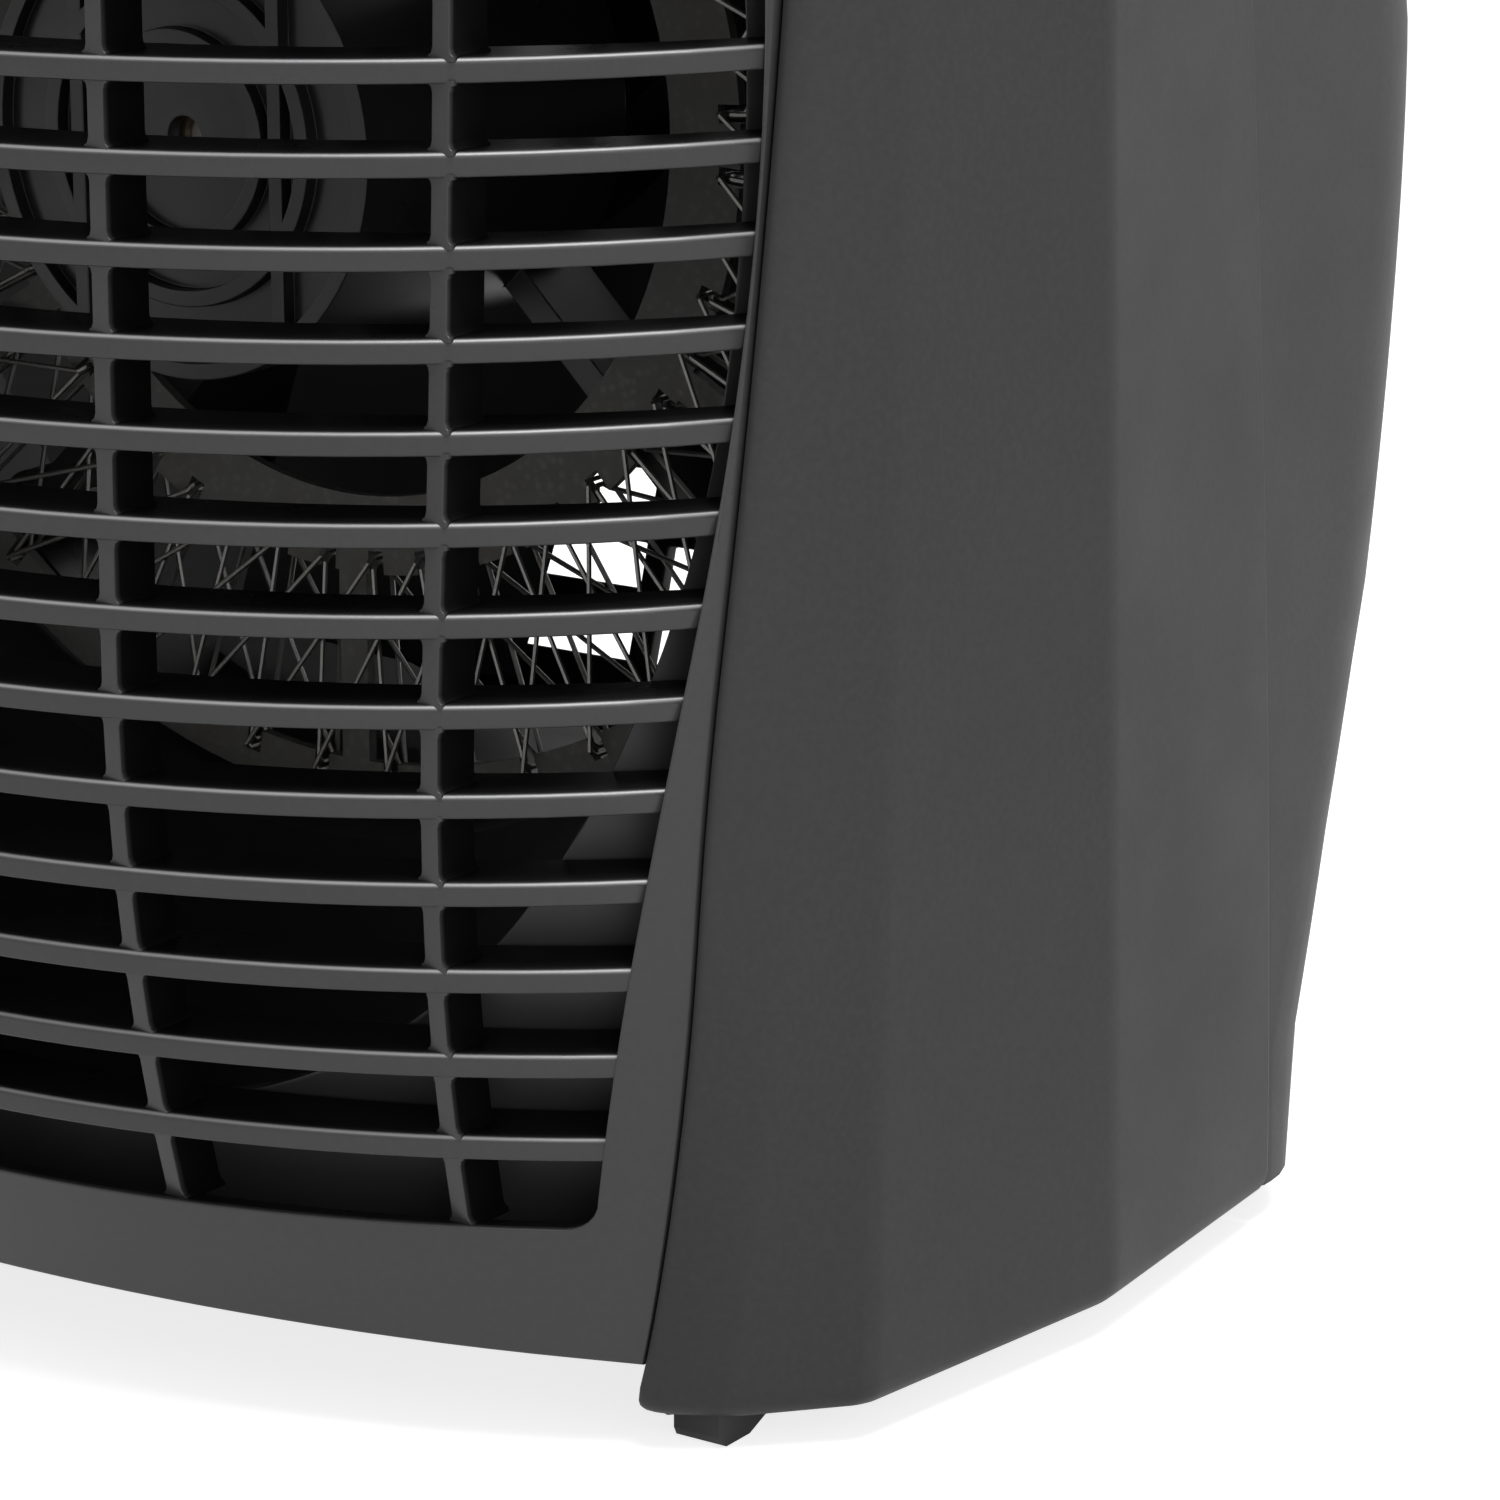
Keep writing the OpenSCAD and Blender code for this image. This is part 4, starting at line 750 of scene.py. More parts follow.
@dataclass(frozen=True)
class MicaSheet(Finish):
    """Pressed mica: cloudy, with small bright flakes and scorched patches."""

    scorch: Colour = (0.09, 0.075, 0.055)

    def shade(self, g: Graph) -> None:
        """Build the mica's nodes."""
        flakes = g.ranged(g.cells(900.0), 1.0, 0.0, end=0.45)
        scorched = g.ranged(g.noise(80.0, detail=4.0, rough=0.6), 0.0, 0.6, start=0.5, end=0.75)
        g.set(
            Base_Color=g.mix(scorched, g.mix(flakes, self.tint(0.93), self.tint(1.1)), self.scorch),
            Roughness=self.rough(g, flakes, 0.15, -0.1), Specular_IOR_Level=0.6,
            Normal=g.bump(flakes, strength=0.2, distance=5e-5),
        )


@dataclass(frozen=True)
class HotWire(Finish):
    """Resistance wire with a patchy oxide from its heat, between a cold and a warm grey."""

    cold: Colour = (0.025, 0.025, 0.028)
    warm: Colour = (0.05, 0.04, 0.034)

    def shade(self, g: Graph) -> None:
        """Build the wire's nodes."""
        oxide = g.ranged(g.noise(220.0, detail=4.0, rough=0.7), 0.0, 1.0, start=0.38, end=0.62)
        tint = g.mix(g.ranged(g.noise(60.0), 0.0, 0.5), self.cold, self.warm)
        g.set(
            Base_Color=g.mix(oxide, self.colour, tint), Metallic=g.ranged(oxide, 0.8, 0.1),
            Roughness=self.rough(g, oxide, 0.0, 0.2), Specular_IOR_Level=0.2,
            Normal=g.bump(g.noise(3000.0, detail=1.0), strength=0.2, distance=2e-5),
        )


@dataclass(frozen=True)
class Sleeved(Finish):
    """Soft wire insulation with faint drawing lines and a dull sheen."""

    def shade(self, g: Graph) -> None:
        """Build the insulation's nodes."""
        cloud = g.noise(180.0, detail=3.0)
        g.set(
            Base_Color=g.mix(cloud, self.tint(0.85), self.tint(1.1)), Specular_IOR_Level=0.5,
            Roughness=self.rough(g, cloud, 0.0, 0.1),
            Normal=g.bump(g.noise(1800.0, detail=1.0), strength=0.1, distance=3e-5),
        )


@dataclass(frozen=True)
class Lens(Finish):
    """Tinted clear plastic with a faint inner haze, so that a lamp behind it glows through."""

    clear: float = 0.55

    def shade(self, g: Graph) -> None:
        """Build the lens's nodes."""
        haze = g.noise(400.0, detail=3.0)
        g.set(
            Base_Color=g.mix(haze, self.tint(0.8), self.colour), Transmission_Weight=self.clear,
            Roughness=self.rough(g, haze, 0.0, 0.08), IOR=1.49,
            Normal=g.bump(haze, strength=0.05, distance=3e-5),
        )


CASING = Moulded("casing_plastic_satin", (0.047, 0.047, 0.048), 0.52, "casing_plastic", specular=0.1)
# The panel's plastic carries painted shade in the depth behind its faces and a painted highlight on the
# slats' rounded top edges.
PANEL = Moulded(
    "panel_plastic_satin", (0.038, 0.038, 0.0388), 0.30, "casing_plastic",
    specular=0.33, wear=1.0, deep=0.16, rubbed=7.0,
)
# A paler copy of the casing plastic for the rear cover: its lighter base colour is painted light.
REAR_PAINTED_LIGHT = Moulded("rear_plastic_painted_light", (0.054, 0.054, 0.055), 0.52, "casing_plastic", specular=0.12)
BLACK = Moulded("black_plastic_matt", (0.012, 0.012, 0.0125), 0.5, "black_plastic", wear=1.6, grain=0.14)
MOTOR = Moulded(
    "motor_plastic_smooth", (0.016, 0.016, 0.0165), 0.3, "motor_plastic", specular=0.5, grain=0.04, wear=2.4
)
KNOB = Moulded(
    "knob_plastic_silk", (0.02, 0.02, 0.0205), 0.32, "black_plastic", specular=0.5, wear=1.8, grain=0.06
)
SWITCH = Moulded("switch_plastic", (0.02, 0.021, 0.024), 0.38, "switch_plastic", specular=0.5)
CERAMIC = Moulded("block_plastic_cream", (0.62, 0.6, 0.53), 0.4, "block_plastic", specular=0.5, wear=1.05)
FOOT = Rubber("foot_rubber", (0.012, 0.012, 0.012), 0.7, "foot_rubber")
ENAMEL = Painted("baffle_enamel", (0.05, 0.05, 0.051), 0.45, "baffle_paint")
STEEL = Metal("drawn_steel", (0.56, 0.57, 0.58), 0.32, "steel")
SCREW = Metal("screw_steel", (0.5, 0.5, 0.52), 0.3, "steel", lines=(600.0, 600.0, 600.0))
BRONZE = Metal("sintered_bronze", (0.16, 0.12, 0.08), 0.45, lines=(1500.0, 1500.0, 1500.0))
STACK = Laminated("stator_sheets", (0.32, 0.33, 0.35), 0.35)
COIL = Wound("copper_coil", (0.75, 0.3, 0.12), 0.3)
MICA = MicaSheet("pressed_mica", (0.13, 0.128, 0.122), 0.45)
WIRE = HotWire("resistance_wire", (0.07, 0.068, 0.066), 0.45, "resistance_wire")
FUSE = Painted("fuse_case", (0.6, 0.6, 0.57), 0.35)
GLASS = Lens("lamp_glass", (0.95, 0.85, 0.75), 0.05, clear=0.9)
RED = Lens("lens_red", (0.75, 0.05, 0.03), 0.12)
PRINT = Painted("dial_print", (0.62, 0.62, 0.61), 0.5, "casing_plastic")
SLEEVE = Sleeved("lead_sleeve", (0.6, 0.58, 0.52), 0.5)
BROWN = Sleeved("brown_sleeve", (0.12, 0.045, 0.018), 0.42)


def dress(node: Object, finish: Finish) -> None:
    """Give a carried CAD node its finish."""
    node.data.materials.clear()
    node.data.materials.append(finish.material())
    log.info("dressed %s in %s", node.name, finish.name)


def piece(
    bm: Mesh, name: str, finish: Finish, replaces: Sequence[str] = (), body: Body = Body.CASING,
    slot: str = "", sharp: float = 38.0, even: bool = True,
) -> Object:
    """Turn a mesh into a finished piece of the heater.

    Args:
        bm: The mesh, in metres in the row frame. It is used up.
        name: The piece's name.
        finish: Its finish.
        replaces: The CAD nodes that it stands for.
        body: The body it rides on.
        slot: The record's material slot that it takes its finish from, if it isn't the finish's own; it is
            not used.
        sharp: Edges that turn by more than this many degrees stay sharp.
        even: Whether large faces keep their own shading beside small ones.

    Returns:
        The new object.
    """
    bmesh.ops.remove_doubles(bm, verts=bm.verts, dist=1e-7)
    outward(bm)
    obj = loose_object(bm, name)
    obj.data.shade_smooth()
    obj.data.set_sharp_from_angle(angle=math.radians(sharp))
    obj.data.materials.append(finish.material())
    if even:
        obj.modifiers.new("even_shading", "WEIGHTED_NORMAL").keep_sharp = True
    slot = slot or finish.slot
    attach(obj, body.value)
    if replaces:
        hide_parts(*replaces)
    log.info("built %s: %d faces, %s", name, len(obj.data.polygons), finish.name)
    return obj


# ---------------------------------------------------------------- grille


@dataclass
class Grille:
    """The front panel: a bowed frame with slats and ribs moulded in."""

    open_h: float = 180.0
    open_flare: float = 7.5
    open_r: float = 3.0
    corner_drop: float = 3.0
    side_strip: float = 0.35
    inner_round: float = 0.3
    outer_round: float = 0.25
    # Depths behind the face at which the opening's wall and the panel's edge wall get full painted shade.
    inner_dark_d: float = 0.9
    outer_dark_d: float = 0.8
    slats: int = 22
    slat_pitch: float = 8.0
    slat_z0: float = 28.7
    slat_h: float = 2.2
    slat_d: float = 9.2
    slat_step: float = 0.25
    slat_in: float = 0.5
    top_round: float = 0.6
    foot_round: float = 0.25
    back_cut: float = 0.3
    rib_pitch: float = 25.8
    rib_t: float = 1.8
    rib_step: float = 1.0
    rib_d: float = 5.5
    rib_flare: float = 0.42
    rib_in: float = 0.3
    ribs: int = 5

    def ends(self) -> tuple[float, float]:
        """Give the heights of the opening's lower and upper edge."""
        return FORM.axis_z - self.open_h / 2, FORM.axis_z + self.open_h / 2

    def slat_feet(self) -> list[float]:
        """Give the heights of the slats' lower faces."""
        return [self.slat_z0 + i * self.slat_pitch for i in range(self.slats)]

    def open_x(self, z: float) -> float:
        """Give half the opening's width at a height."""
        away = (z - FORM.axis_z) / (self.open_h / 2)
        return FORM.panel_w / 2 - FORM.seam - self.side_strip - self.open_flare * away**2

    def margin_x(self, z: float) -> float:
        """Give X of the panel's outer edge at a height."""
        return FORM.edge_x(z) - FORM.seam

    def lower_edge(self, x: float) -> float:
        """Give the height of the panel's lower edge."""
        return FORM.panel_bottom - self.corner_drop * (2 * x / FORM.panel_w) ** 2

    def outline(self) -> list[tuple[Vector, Vector]]:
        """Give pairs of points in front view, on the opening and on the panel's edge across from it."""
        corner_z = self.lower_edge(self.margin_x(FORM.panel_bottom))
        (low, high), r, top, turn = self.ends(), self.open_r, FORM.shell_top, 6
        low_x, high_x = self.open_x(low + r) - r, self.open_x(high - r) - r
        half = [((x, low), (x, self.lower_edge(x))) for x in steps(0, low_x, 16)[:-1]]
        for i, (c, s) in enumerate(arc(-90, 0, turn)):
            z = lerp(corner_z, low + r, clamp01((i - 1) / (turn - 1)))
            edge = (self.margin_x(z), z) if i else (low_x, self.lower_edge(low_x))
            half.append(((low_x + r * c, low + r * (1 + s)), edge))
        half += [((self.open_x(z), z), (self.margin_x(z), z)) for z in steps(low + r, high - r, 44)[1:-1]]
        for i, (c, s) in enumerate(arc(0, 90, turn)):
            z = lerp(high - r, top, clamp01(i / (turn - 1)))
            edge_x = high_x if i == turn else self.margin_x(z)
            half.append(((high_x + r * c, high - r * (1 - s)), (edge_x, z)))
        half += [((x, high), (x, top)) for x in steps(high_x, 0, 16)[1:]]
        pairs = half + [((-a[0], a[1]), (-b[0], b[1])) for a, b in reversed(half) if a[0] > TINY]
        return [(Vector(a), Vector(b)) for a, b in pairs]

    def margin_row(self, share: float, inset: float, back: float) -> list[Point]:
        """Give a row of points around the margin.

        Args:
            share: How far out it runs, from 0 at the opening to 1 at the panel's edge.
            inset: How much it is drawn in from there.
            back: How far it lies behind the panel's surface.

        Returns:
            The row's points in the row frame.
        """
        points = []
        for a, b in self.outline():
            far = (b - a).length
            p = a.lerp(b, share + (1 - 2 * share) * min(inset, 0.4 * far) / far)
            points.append((p.x, FORM.panel_y(p.x, p.y) + back, p.y))
        return points

    def frame(self) -> None:
        """Build the panel's margin around the opening, as rows of share, inset, depth and painted light,
        which puts painted shade on the walls and back behind the face.
        """
        r, s, t = self.inner_round, self.outer_round, FORM.panel_t
        # The last column is painted light: painted shade of 1 behind the face, a little on the roundings.
        rows = [(0, 0, r, 0.1), (0, r * 0.13, r * 0.5, 0), (0, r * 0.5, r * 0.13, 0), (0, r, 0, 0)]
        rows += [(0.3, 0, 0, 0), (0.5, 0, 0, 0), (0.7, 0, 0, 0)]
        rows += [(1, s, 0, 0), (1, s * 0.3, s * 0.3, 0), (1, 0, s, 0.2), (1, 0, self.outer_dark_d, 1)]
        rows += [(1, 0, t, 1), (0, 0, t, 1), (0, 0, self.inner_dark_d, 1)]
        points = [self.margin_row(*row[:3]) for row in rows]
        bm = toned_mesh()
        loft(bm, points, around=True, painted_lights=[[row[3]] * len(points[0]) for row in rows])
        piece(bm, "grille_frame", PANEL, ["front_panel"], sharp=50)

    def slat_section(self, x: float, z: float, middle: float, r: float) -> list[Point]:
        """Give one slat's section at a place along it.

        Args:
            x: The place along the slat.
            z: Height of the slat's lower edge.
            middle: Y of the slat's foremost line.
            r: Radius of the slat's bow.

        Returns:
            The section's points in the row frame.
        """
        face = Vector((x, middle + r - math.sqrt(r * r - x * x)))
        inward = Vector((-x / r, math.sqrt(1 - (x / r) ** 2)))
        t, f, h, k = self.top_round, self.foot_round, self.slat_h, self.back_cut
        front = [(f + 0.5, 0.0), (f, 0.0), (f * 0.3, f * 0.3), (0.0, f)]
        front += [(t * (1 - c), h - t * (1 - s)) for c, s in arc(0, 90, 7)] + [(t + 0.5, h)]
        points = [(*(face + inward * u), z + v) for u, v in front]
        back = face + Vector((0, self.slat_d))
        return points + [(back.x, back.y - k, z + h), (back.x, back.y, z + h - k), (back.x, back.y, z)]

    def bars(self) -> None:
        """Build the slats, each an arc with a rounded upper front edge that carries a painted highlight, and
        painted shade on its faces behind the front.
        """
        bm = toned_mesh()
        # Painted light along a section: painted shade on the lower face, top and back, none on the front
        # face, and a painted highlight on the upper rounding.
        painted_lights = [1, 0.6, 0.2, 0, 0, 0, -0.2, -1, -1, -0.3, 0.5, 0.8, 1, 1, 1, 1]
        for z in self.slat_feet():
            x = self.open_x(z)
            middle = FORM.front_line(z + self.slat_h / 2) + self.slat_step
            edge = max(FORM.panel_y(x, z), FORM.panel_y(x, z + self.slat_h)) + self.slat_step
            r = (x * x + (edge - middle) ** 2) / (2 * (edge - middle))
            reach = min(x + self.slat_in, self.margin_x(z) - 0.1)
            sections = [self.slat_section(s, z, middle, r) for s in steps(-reach, reach, 34)]
            loft(bm, sections, painted_lights=[painted_lights] * len(sections))
        piece(bm, "grille_slats", PANEL, sharp=50)

    def web(self, bm: Mesh, x: float, low: float, high: float) -> None:
        """Add one short rib between two slats, with flared ends.

        Args:
            bm: The mesh to add it to.
            x: The rib's place across the panel.
            low: Height of the upper face of the slat below.
            high: Height of the lower face of the slat above.
        """
        w, k, sunk = self.rib_t / 2, self.rib_flare, self.rib_in
        flare = [(w + k, -sunk), (w + k, 0.15), (w + k * 0.35, k * 0.8), (w, k * 2)]
        right = [(u, low + v) for u, v in flare] + [(u, high - v) for u, v in reversed(flare)]
        outline = right + [(-u, v) for u, v in reversed(right)]
        # Rows of depth, draw-in and painted light: the rib's sides behind its front get painted shade.
        rows = [(0, 0.16, 0), (0.05, 0.05, 0), (0.16, 0, 0.2), (0.8, 0, 1), (self.rib_d, 0, 1)]
        points, painted_lights = [], []
        for back, draw, painted_light in rows:
            y = self.rib_step + back
            points.append([(x + u - math.copysign(draw, u), FORM.panel_y(x, v) + y, v) for u, v in outline])
            painted_lights.append([painted_light] * len(outline))
        loft(bm, points, painted_lights=painted_lights)

    def webs(self) -> None:
        """Build the ribs between the slats."""
        bm = toned_mesh()
        low, high = self.ends()
        feet = self.slat_feet()
        for k in range(self.ribs):
            x = (k - self.ribs // 2) * self.rib_pitch
            for below, above in zip([low] + [z + self.slat_h for z in feet], feet + [high]):
                self.web(bm, x, below, above)
        piece(bm, "grille_ribs", PANEL)

    def build(self) -> None:
        """Build the whole panel."""
        self.frame()
        self.bars()
        self.webs()


# ---------------------------------------------------------------- side shells


@dataclass
class SideShell:
    """One side shell: a lip, a rounded nose, three facets and an open back."""

    side: Side
    proud: float = 1.1
    nose: float = 1.9
    nose_edge: float = 0.3
    nose_pull: tuple[float, float] = (1.6, 1.25)
    nose_end: float = 308.0
    nose_share: float = 0.35
    lip_d: float = 13.0
    foot: float = 3.2
    foot_round: float = 3.0
    top_round: float = 0.5
    rear_round: float = 0.7
    facet_soft: float = 1.3
    boss_h: float = 14.0
    boss_gap: float = 0.1
    boss_soft: float = 0.6
    taper_top: float = 52.0

    def inset_at(self, z: float) -> float:
        """Give how far the outer face draws in at a height, near the upper and lower edges."""
        foot = max(0.0, self.foot + self.foot_round - z)
        top = max(0.0, z - FORM.shell_top + self.top_round)
        low = self.foot_round - math.sqrt(max(0.0, self.foot_round**2 - foot**2))
        return low + self.top_round - math.sqrt(max(0.0, self.top_round**2 - top**2))

    def outline(self, z: float) -> list[Point]:
        """Give the shell's wall in plan at a height, as a closed ring on the right side."""
        x, w, e, r = FORM.edge_x(z), self.inset_at(z), self.nose_edge, self.rear_round
        y, facets, a = FORM.panel_y(x, z), FORM.facets(z), math.radians(self.nose_end)
        middle = Vector((x + self.nose, y + w + self.nose - self.proud))
        end = (middle + self.nose * Vector((math.cos(a), math.sin(a)))).lerp(facets[0], self.nose_share)
        pull = Vector((x + self.nose_pull[0], y + w - self.nose_pull[1]))
        front = [Vector((x, y + w)), Vector((x + e * 0.3, y + w - e * 0.7))]
        front += curve(Vector((x + e, y + w - e)), pull, end, 9)
        line = offset_path([front[-1], *facets], w)[1:]
        slope = (line[0].y - front[-1].y) / (line[0].x - front[-1].x)
        lip, tip = Vector((x, y + self.lip_d)), Vector((x, front[-1].y - slope * (front[-1].x - x)))
        core = offset_path([lip, tip, *line], FORM.side_wall)
        along = (line[2] - line[1]).normalized()
        across = Vector((-along.y, along.x))
        path = [lip, *front]
        path += rounded_corner(front[-1], line[0], line[1], self.facet_soft, 5)
        path += rounded_corner(*line, self.facet_soft, 5)
        path += [line[2] - along * r * (1 - s) + across * r * (1 - c) for c, s in arc(0, 90, 4)]
        return [(*p, z) for p in path + core[::-1]]

    def heights(self) -> list[float]:
        """Give the heights of the shell's sections."""
        foot = [self.foot + self.foot_round * t for t in (0.0, 0.06, 0.16, 0.32, 0.55, 1.0)]
        top = [FORM.shell_top - self.top_round * t for t in (1.0, 0.5, 0.2, 0.0)]
        low, high = steps(foot[-1], self.taper_top, 14), steps(self.taper_top, top[0], 26)
        return foot + low[1:-1] + high[:-1] + top

    def build(self) -> None:
        """Build the shell on its side, with the bosses of its base screws."""
        bm = bmesh.new()
        loft(bm, [self.outline(z) for z in self.heights()])
        z, r = FORM.base_top + self.boss_gap + self.boss_h / 2, FORM.boss_r
        for d in FORM.base_screws:
            place = shift((FORM.base_screw_x(d), FORM.depth(d), z))
            soften_box(bm, cube(bm, place, (2 * r, 2 * r, self.boss_h)), self.boss_soft)
        if self.side is Side.LEFT:
            bmesh.ops.scale(bm, vec=(-1, 1, 1), verts=bm.verts)
        name = f"{self.side.name.lower()}_wing"
        piece(bm, f"{name}_shell", CASING, [name], sharp=50)


# ---------------------------------------------------------------- rear cover


@dataclass
class RearCover:
    """The bulging rear cover with its field of inlet slots and four screw recesses."""

    wall: float = 2.0
    soft: float = 0.35
    slots: int = 19
    pitch: float = 8.0
    slot_h: float = 5.0
    field_w: float = 92.0
    bar_w: float = 3.0
    tower: float = 58.0
    tower_r: float = 4.5
    tower_d: float = 116.0
    tower_floor: float = 2.5
    tower_sunk: float = 0.6
    screw_r: float = 1.45
    recess_r: float = 3.1
    recess_d: float = 118.5
    inlet: tuple[float, float, float] = (46.0, 110.0, 30.0)
    inlet_r: float = 6.5
    bore_l: float = 60.0

    def columns(self) -> list[float]:
        """Give X of the slots' ends on the right half, from the middle out."""
        part = self.field_w / 3 - self.bar_w * 2 / 3
        return [part / 2, part / 2 + self.bar_w, self.field_w / 2]

    def slot_edges(self) -> list[float]:
        """Give the heights of the slots' lower and upper edges, in pairs."""
        middle = (self.slots - 1) / 2
        zs = [FORM.axis_z + (i - middle) * self.pitch for i in range(self.slots)]
        return [z + s * self.slot_h / 2 for z in zs for s in BOTH]

    def chain(self, z: float) -> list[Point]:
        """Give the cover's outer face at a height, from its right edge round to its left."""
        corner = FORM.rear_corner(z, 14)
        (x, y), start = corner[0], FORM.depth(FORM.facet_d[2] + FORM.seam)
        right = [Vector((x, s)) for s in steps(start, y, 4)[:-1]] + corner
        right += [Vector((c, corner[-1].y)) for c in reversed(self.columns())]
        return [(*p, z) for p in right] + [(-p.x, p.y, z) for p in reversed(right)]

    def skin(self) -> Mesh:
        """Build the cover's outer face with the slots left open."""
        marks = self.slot_edges()
        zs = steps(FORM.shell_gap, marks[0], 7)[:-1] + marks + steps(marks[-1], FORM.shell_top, 5)[1:]
        bm = bmesh.new()
        loft(bm, [self.chain(z) for z in zs], caps=(), closed=False)
        inner, middle_end, outer = self.columns()
        gone = []
        for face in bm.faces:
            x, y, z = face.calc_center_median() / MM
            in_slot = any(low < z < high for low, high in zip(marks[::2], marks[1::2]))
            if y > 0 and in_slot and (abs(x) < inner or middle_end < abs(x) < outer):
                gone.append(face)
        bmesh.ops.delete(bm, geom=gone, context="FACES")
        outward(bm)
        if sum(f.normal.y for f in bm.faces) < 0:
            bmesh.ops.reverse_faces(bm, faces=bm.faces)
        return bm

    def sleeve(self, bm: Mesh, x: float, z: float) -> None:
        """Add the sleeve that a rear screw sits in, from its floor to the cover's wall."""
        far = FORM.back_d(z) - self.wall - self.tower_sunk - self.tower_d
        a, b, s, floor = self.recess_r, self.tower_r, self.screw_r, self.tower_floor
        profile = [(s, 0), (b, 0), (b, far), (a, far), (a, floor), (s, floor), (s, 0)]
        lathe(bm, profile, (x, FORM.depth(self.tower_d), z), BACKWARD, 40)

    def build(self) -> None:
        """Build the cover: its wall, its recesses and their sleeves."""
        towers = [(sx * self.tower, FORM.axis_z + sz * self.tower) for sx in BOTH for sz in BOTH]
        holes = [((x, FORM.depth(self.recess_d), z), self.recess_r) for x, z in towers]
        x, d, z = self.inlet
        holes.append(((x, FORM.depth(d), z), self.inlet_r))
        bm = drill(walled(self.skin(), self.wall, self.soft), holes, BACKWARD, self.bore_l)
        for x, z in towers:
            self.sleeve(bm, x, z)
        piece(bm, "rear_shell", REAR_PAINTED_LIGHT, ["rear_cover"], sharp=40)


# ---------------------------------------------------------------- top


@dataclass
class TopCover:
    """The domed top with its deck, dial scales and pilot lens."""

    wall: float = 2.4
    deck: float = 240.0
    middle: float = 70.0
    knob_x: float = 30.0
    knob_at: float = 58.0
    spindle_r: float = 3.5
    lens_at: float = 36.0
    lens_r: float = 3.5
    lens_gap: float = 0.08
    bore_l: float = 12.0
    tongue_out: float = 0.99
    tongue_in: float = 0.978
    tongue_gap: float = 0.03
    tongue_in_dome: float = 0.4
    print_h: float = 0.06
    print_soft: float = 0.02
    line_r: float = 17.2
    long_line: tuple[float, float] = (2.0, 0.5)
    fine_line: tuple[float, float] = (1.2, 0.3)
    number_r: float = 22.0
    number_h: float = 4.6
    scale_turn: float = 270.0

    def section(self) -> list[tuple[float, float]]:
        """Give the dome's section as pairs of width share and height share, smoothed through its points."""
        path = [(1, -0.35), (1, 0), (0.99, 0.35), (0.955, 0.65), (0.9, 0.87), (0.82, 1), (0.72, 1.06)]
        out = []
        for i in range(1, len(path) - 2):
            a, b, c, d = (Vector(p) for p in path[i - 1 : i + 3])
            for t in steps(0, 1, 4)[:-1]:
                bend = (2 * a - 5 * b + 4 * c - d) * t**2 + (3 * b - a - 3 * c + d) * t**3
                point = 0.5 * (2 * b + (c - a) * t + bend)
                out.append((min(point.x, 1.0), min(point.y, 0.996)))
        return out + [(0.822, 0.997), (0.812, 1.0)]

    def row(self, s: float, z: float) -> list[Point]:
        """Give the cover's outline at a height, drawn in to a share s of its width."""
        y0 = FORM.depth(self.middle)
        return [(p.x * s, y0 + (p.y - y0) * s, z) for p in FORM.cover_outline()]

    def skin(self) -> Mesh:
        """Build the dome's outer face."""
        bm, foot = bmesh.new(), FORM.shell_top + FORM.seam
        shares = [(0.9965, 0.0), (0.9985, 0.006), (1.0, 0.02)] + self.section()[1:]
        loft(bm, [self.row(s, lerp(foot, self.deck, t)) for s, t in shares], caps=(-1,))
        outward(bm)
        if max(bm.faces, key=lambda f: f.calc_center_median().z).normal.z < 0:
            bmesh.ops.reverse_faces(bm, faces=bm.faces)
        return bm

    def shell(self) -> None:
        """Build the dome's wall, the holes for the spindles and the lens, and the tongue at its foot.

        The tongue under the dome's edge fills the joint behind its outer line.
        """
        holes = [(s * self.knob_x, self.knob_at, self.spindle_r) for s in BOTH]
        holes.append((0.0, self.lens_at, self.lens_r + self.lens_gap))
        starts = [((x, FORM.depth(d), self.deck - self.bore_l / 2), r) for x, d, r in holes]
        bm = drill(walled(self.skin(), self.wall), starts, (0, 0, 1), self.bore_l)
        low, high = FORM.shell_top + self.tongue_gap, FORM.shell_top + FORM.seam + self.tongue_in_dome
        out, inner = self.tongue_out, self.tongue_in
        rows = ((out, low), (out, high), (inner, high), (inner, low))
        loft(bm, [self.row(s, z) for s, z in rows], around=True)
        piece(bm, "top_shell", CASING, ["top_cover"], sharp=40)

    def numeral(self, bm: Mesh, text: str, at: Point) -> None:
        """Print a number flat on the deck, centred on a point."""
        curves = bpy.data.curves.new("numeral", "FONT")
        curves.body, curves.size, curves.extrude = text, self.number_h * MM, self.print_h * MM
        curves.align_x, curves.align_y = "CENTER", "CENTER"
        obj = bpy.data.objects.new("numeral", curves)
        bpy.context.scene.collection.objects.link(obj)
        mesh = taken(obj)
        stamp(bm, mesh, shift((*at, self.deck)))
        bpy.data.meshes.remove(mesh)

    def scale(self, name: str, x: float, marks: int, fine: int) -> None:
        """Print a dial's scale on the deck: numbered long lines with fine lines between them.

        Args:
            name: The piece's name.
            x: The dial's place across the deck.
            marks: Number of numbered places over the angle that the dial turns.
            fine: Number of fine lines from one numbered place to the next.
        """
        centre = (x, FORM.depth(self.knob_at))
        bm, last = bmesh.new(), (marks - 1) * fine
        for i in range(last + 1):
            turn = -math.radians(self.scale_turn) * i / last
            number, rest = divmod(i, fine)
            length, w = self.fine_line if rest else self.long_line
            place = shift((*centre, self.deck)) @ turn_z(turn) @ shift((0, -self.line_r - length / 2, 0))
            soften_box(bm, cube(bm, place, (w, length, 2 * self.print_h)), self.print_soft, 1)
            if not rest:
                a = turn - math.pi / 2
                at = (centre[0] + self.number_r * math.cos(a), centre[1] + self.number_r * math.sin(a))
                self.numeral(bm, str(number), at)
        piece(bm, name, PRINT, even=False)

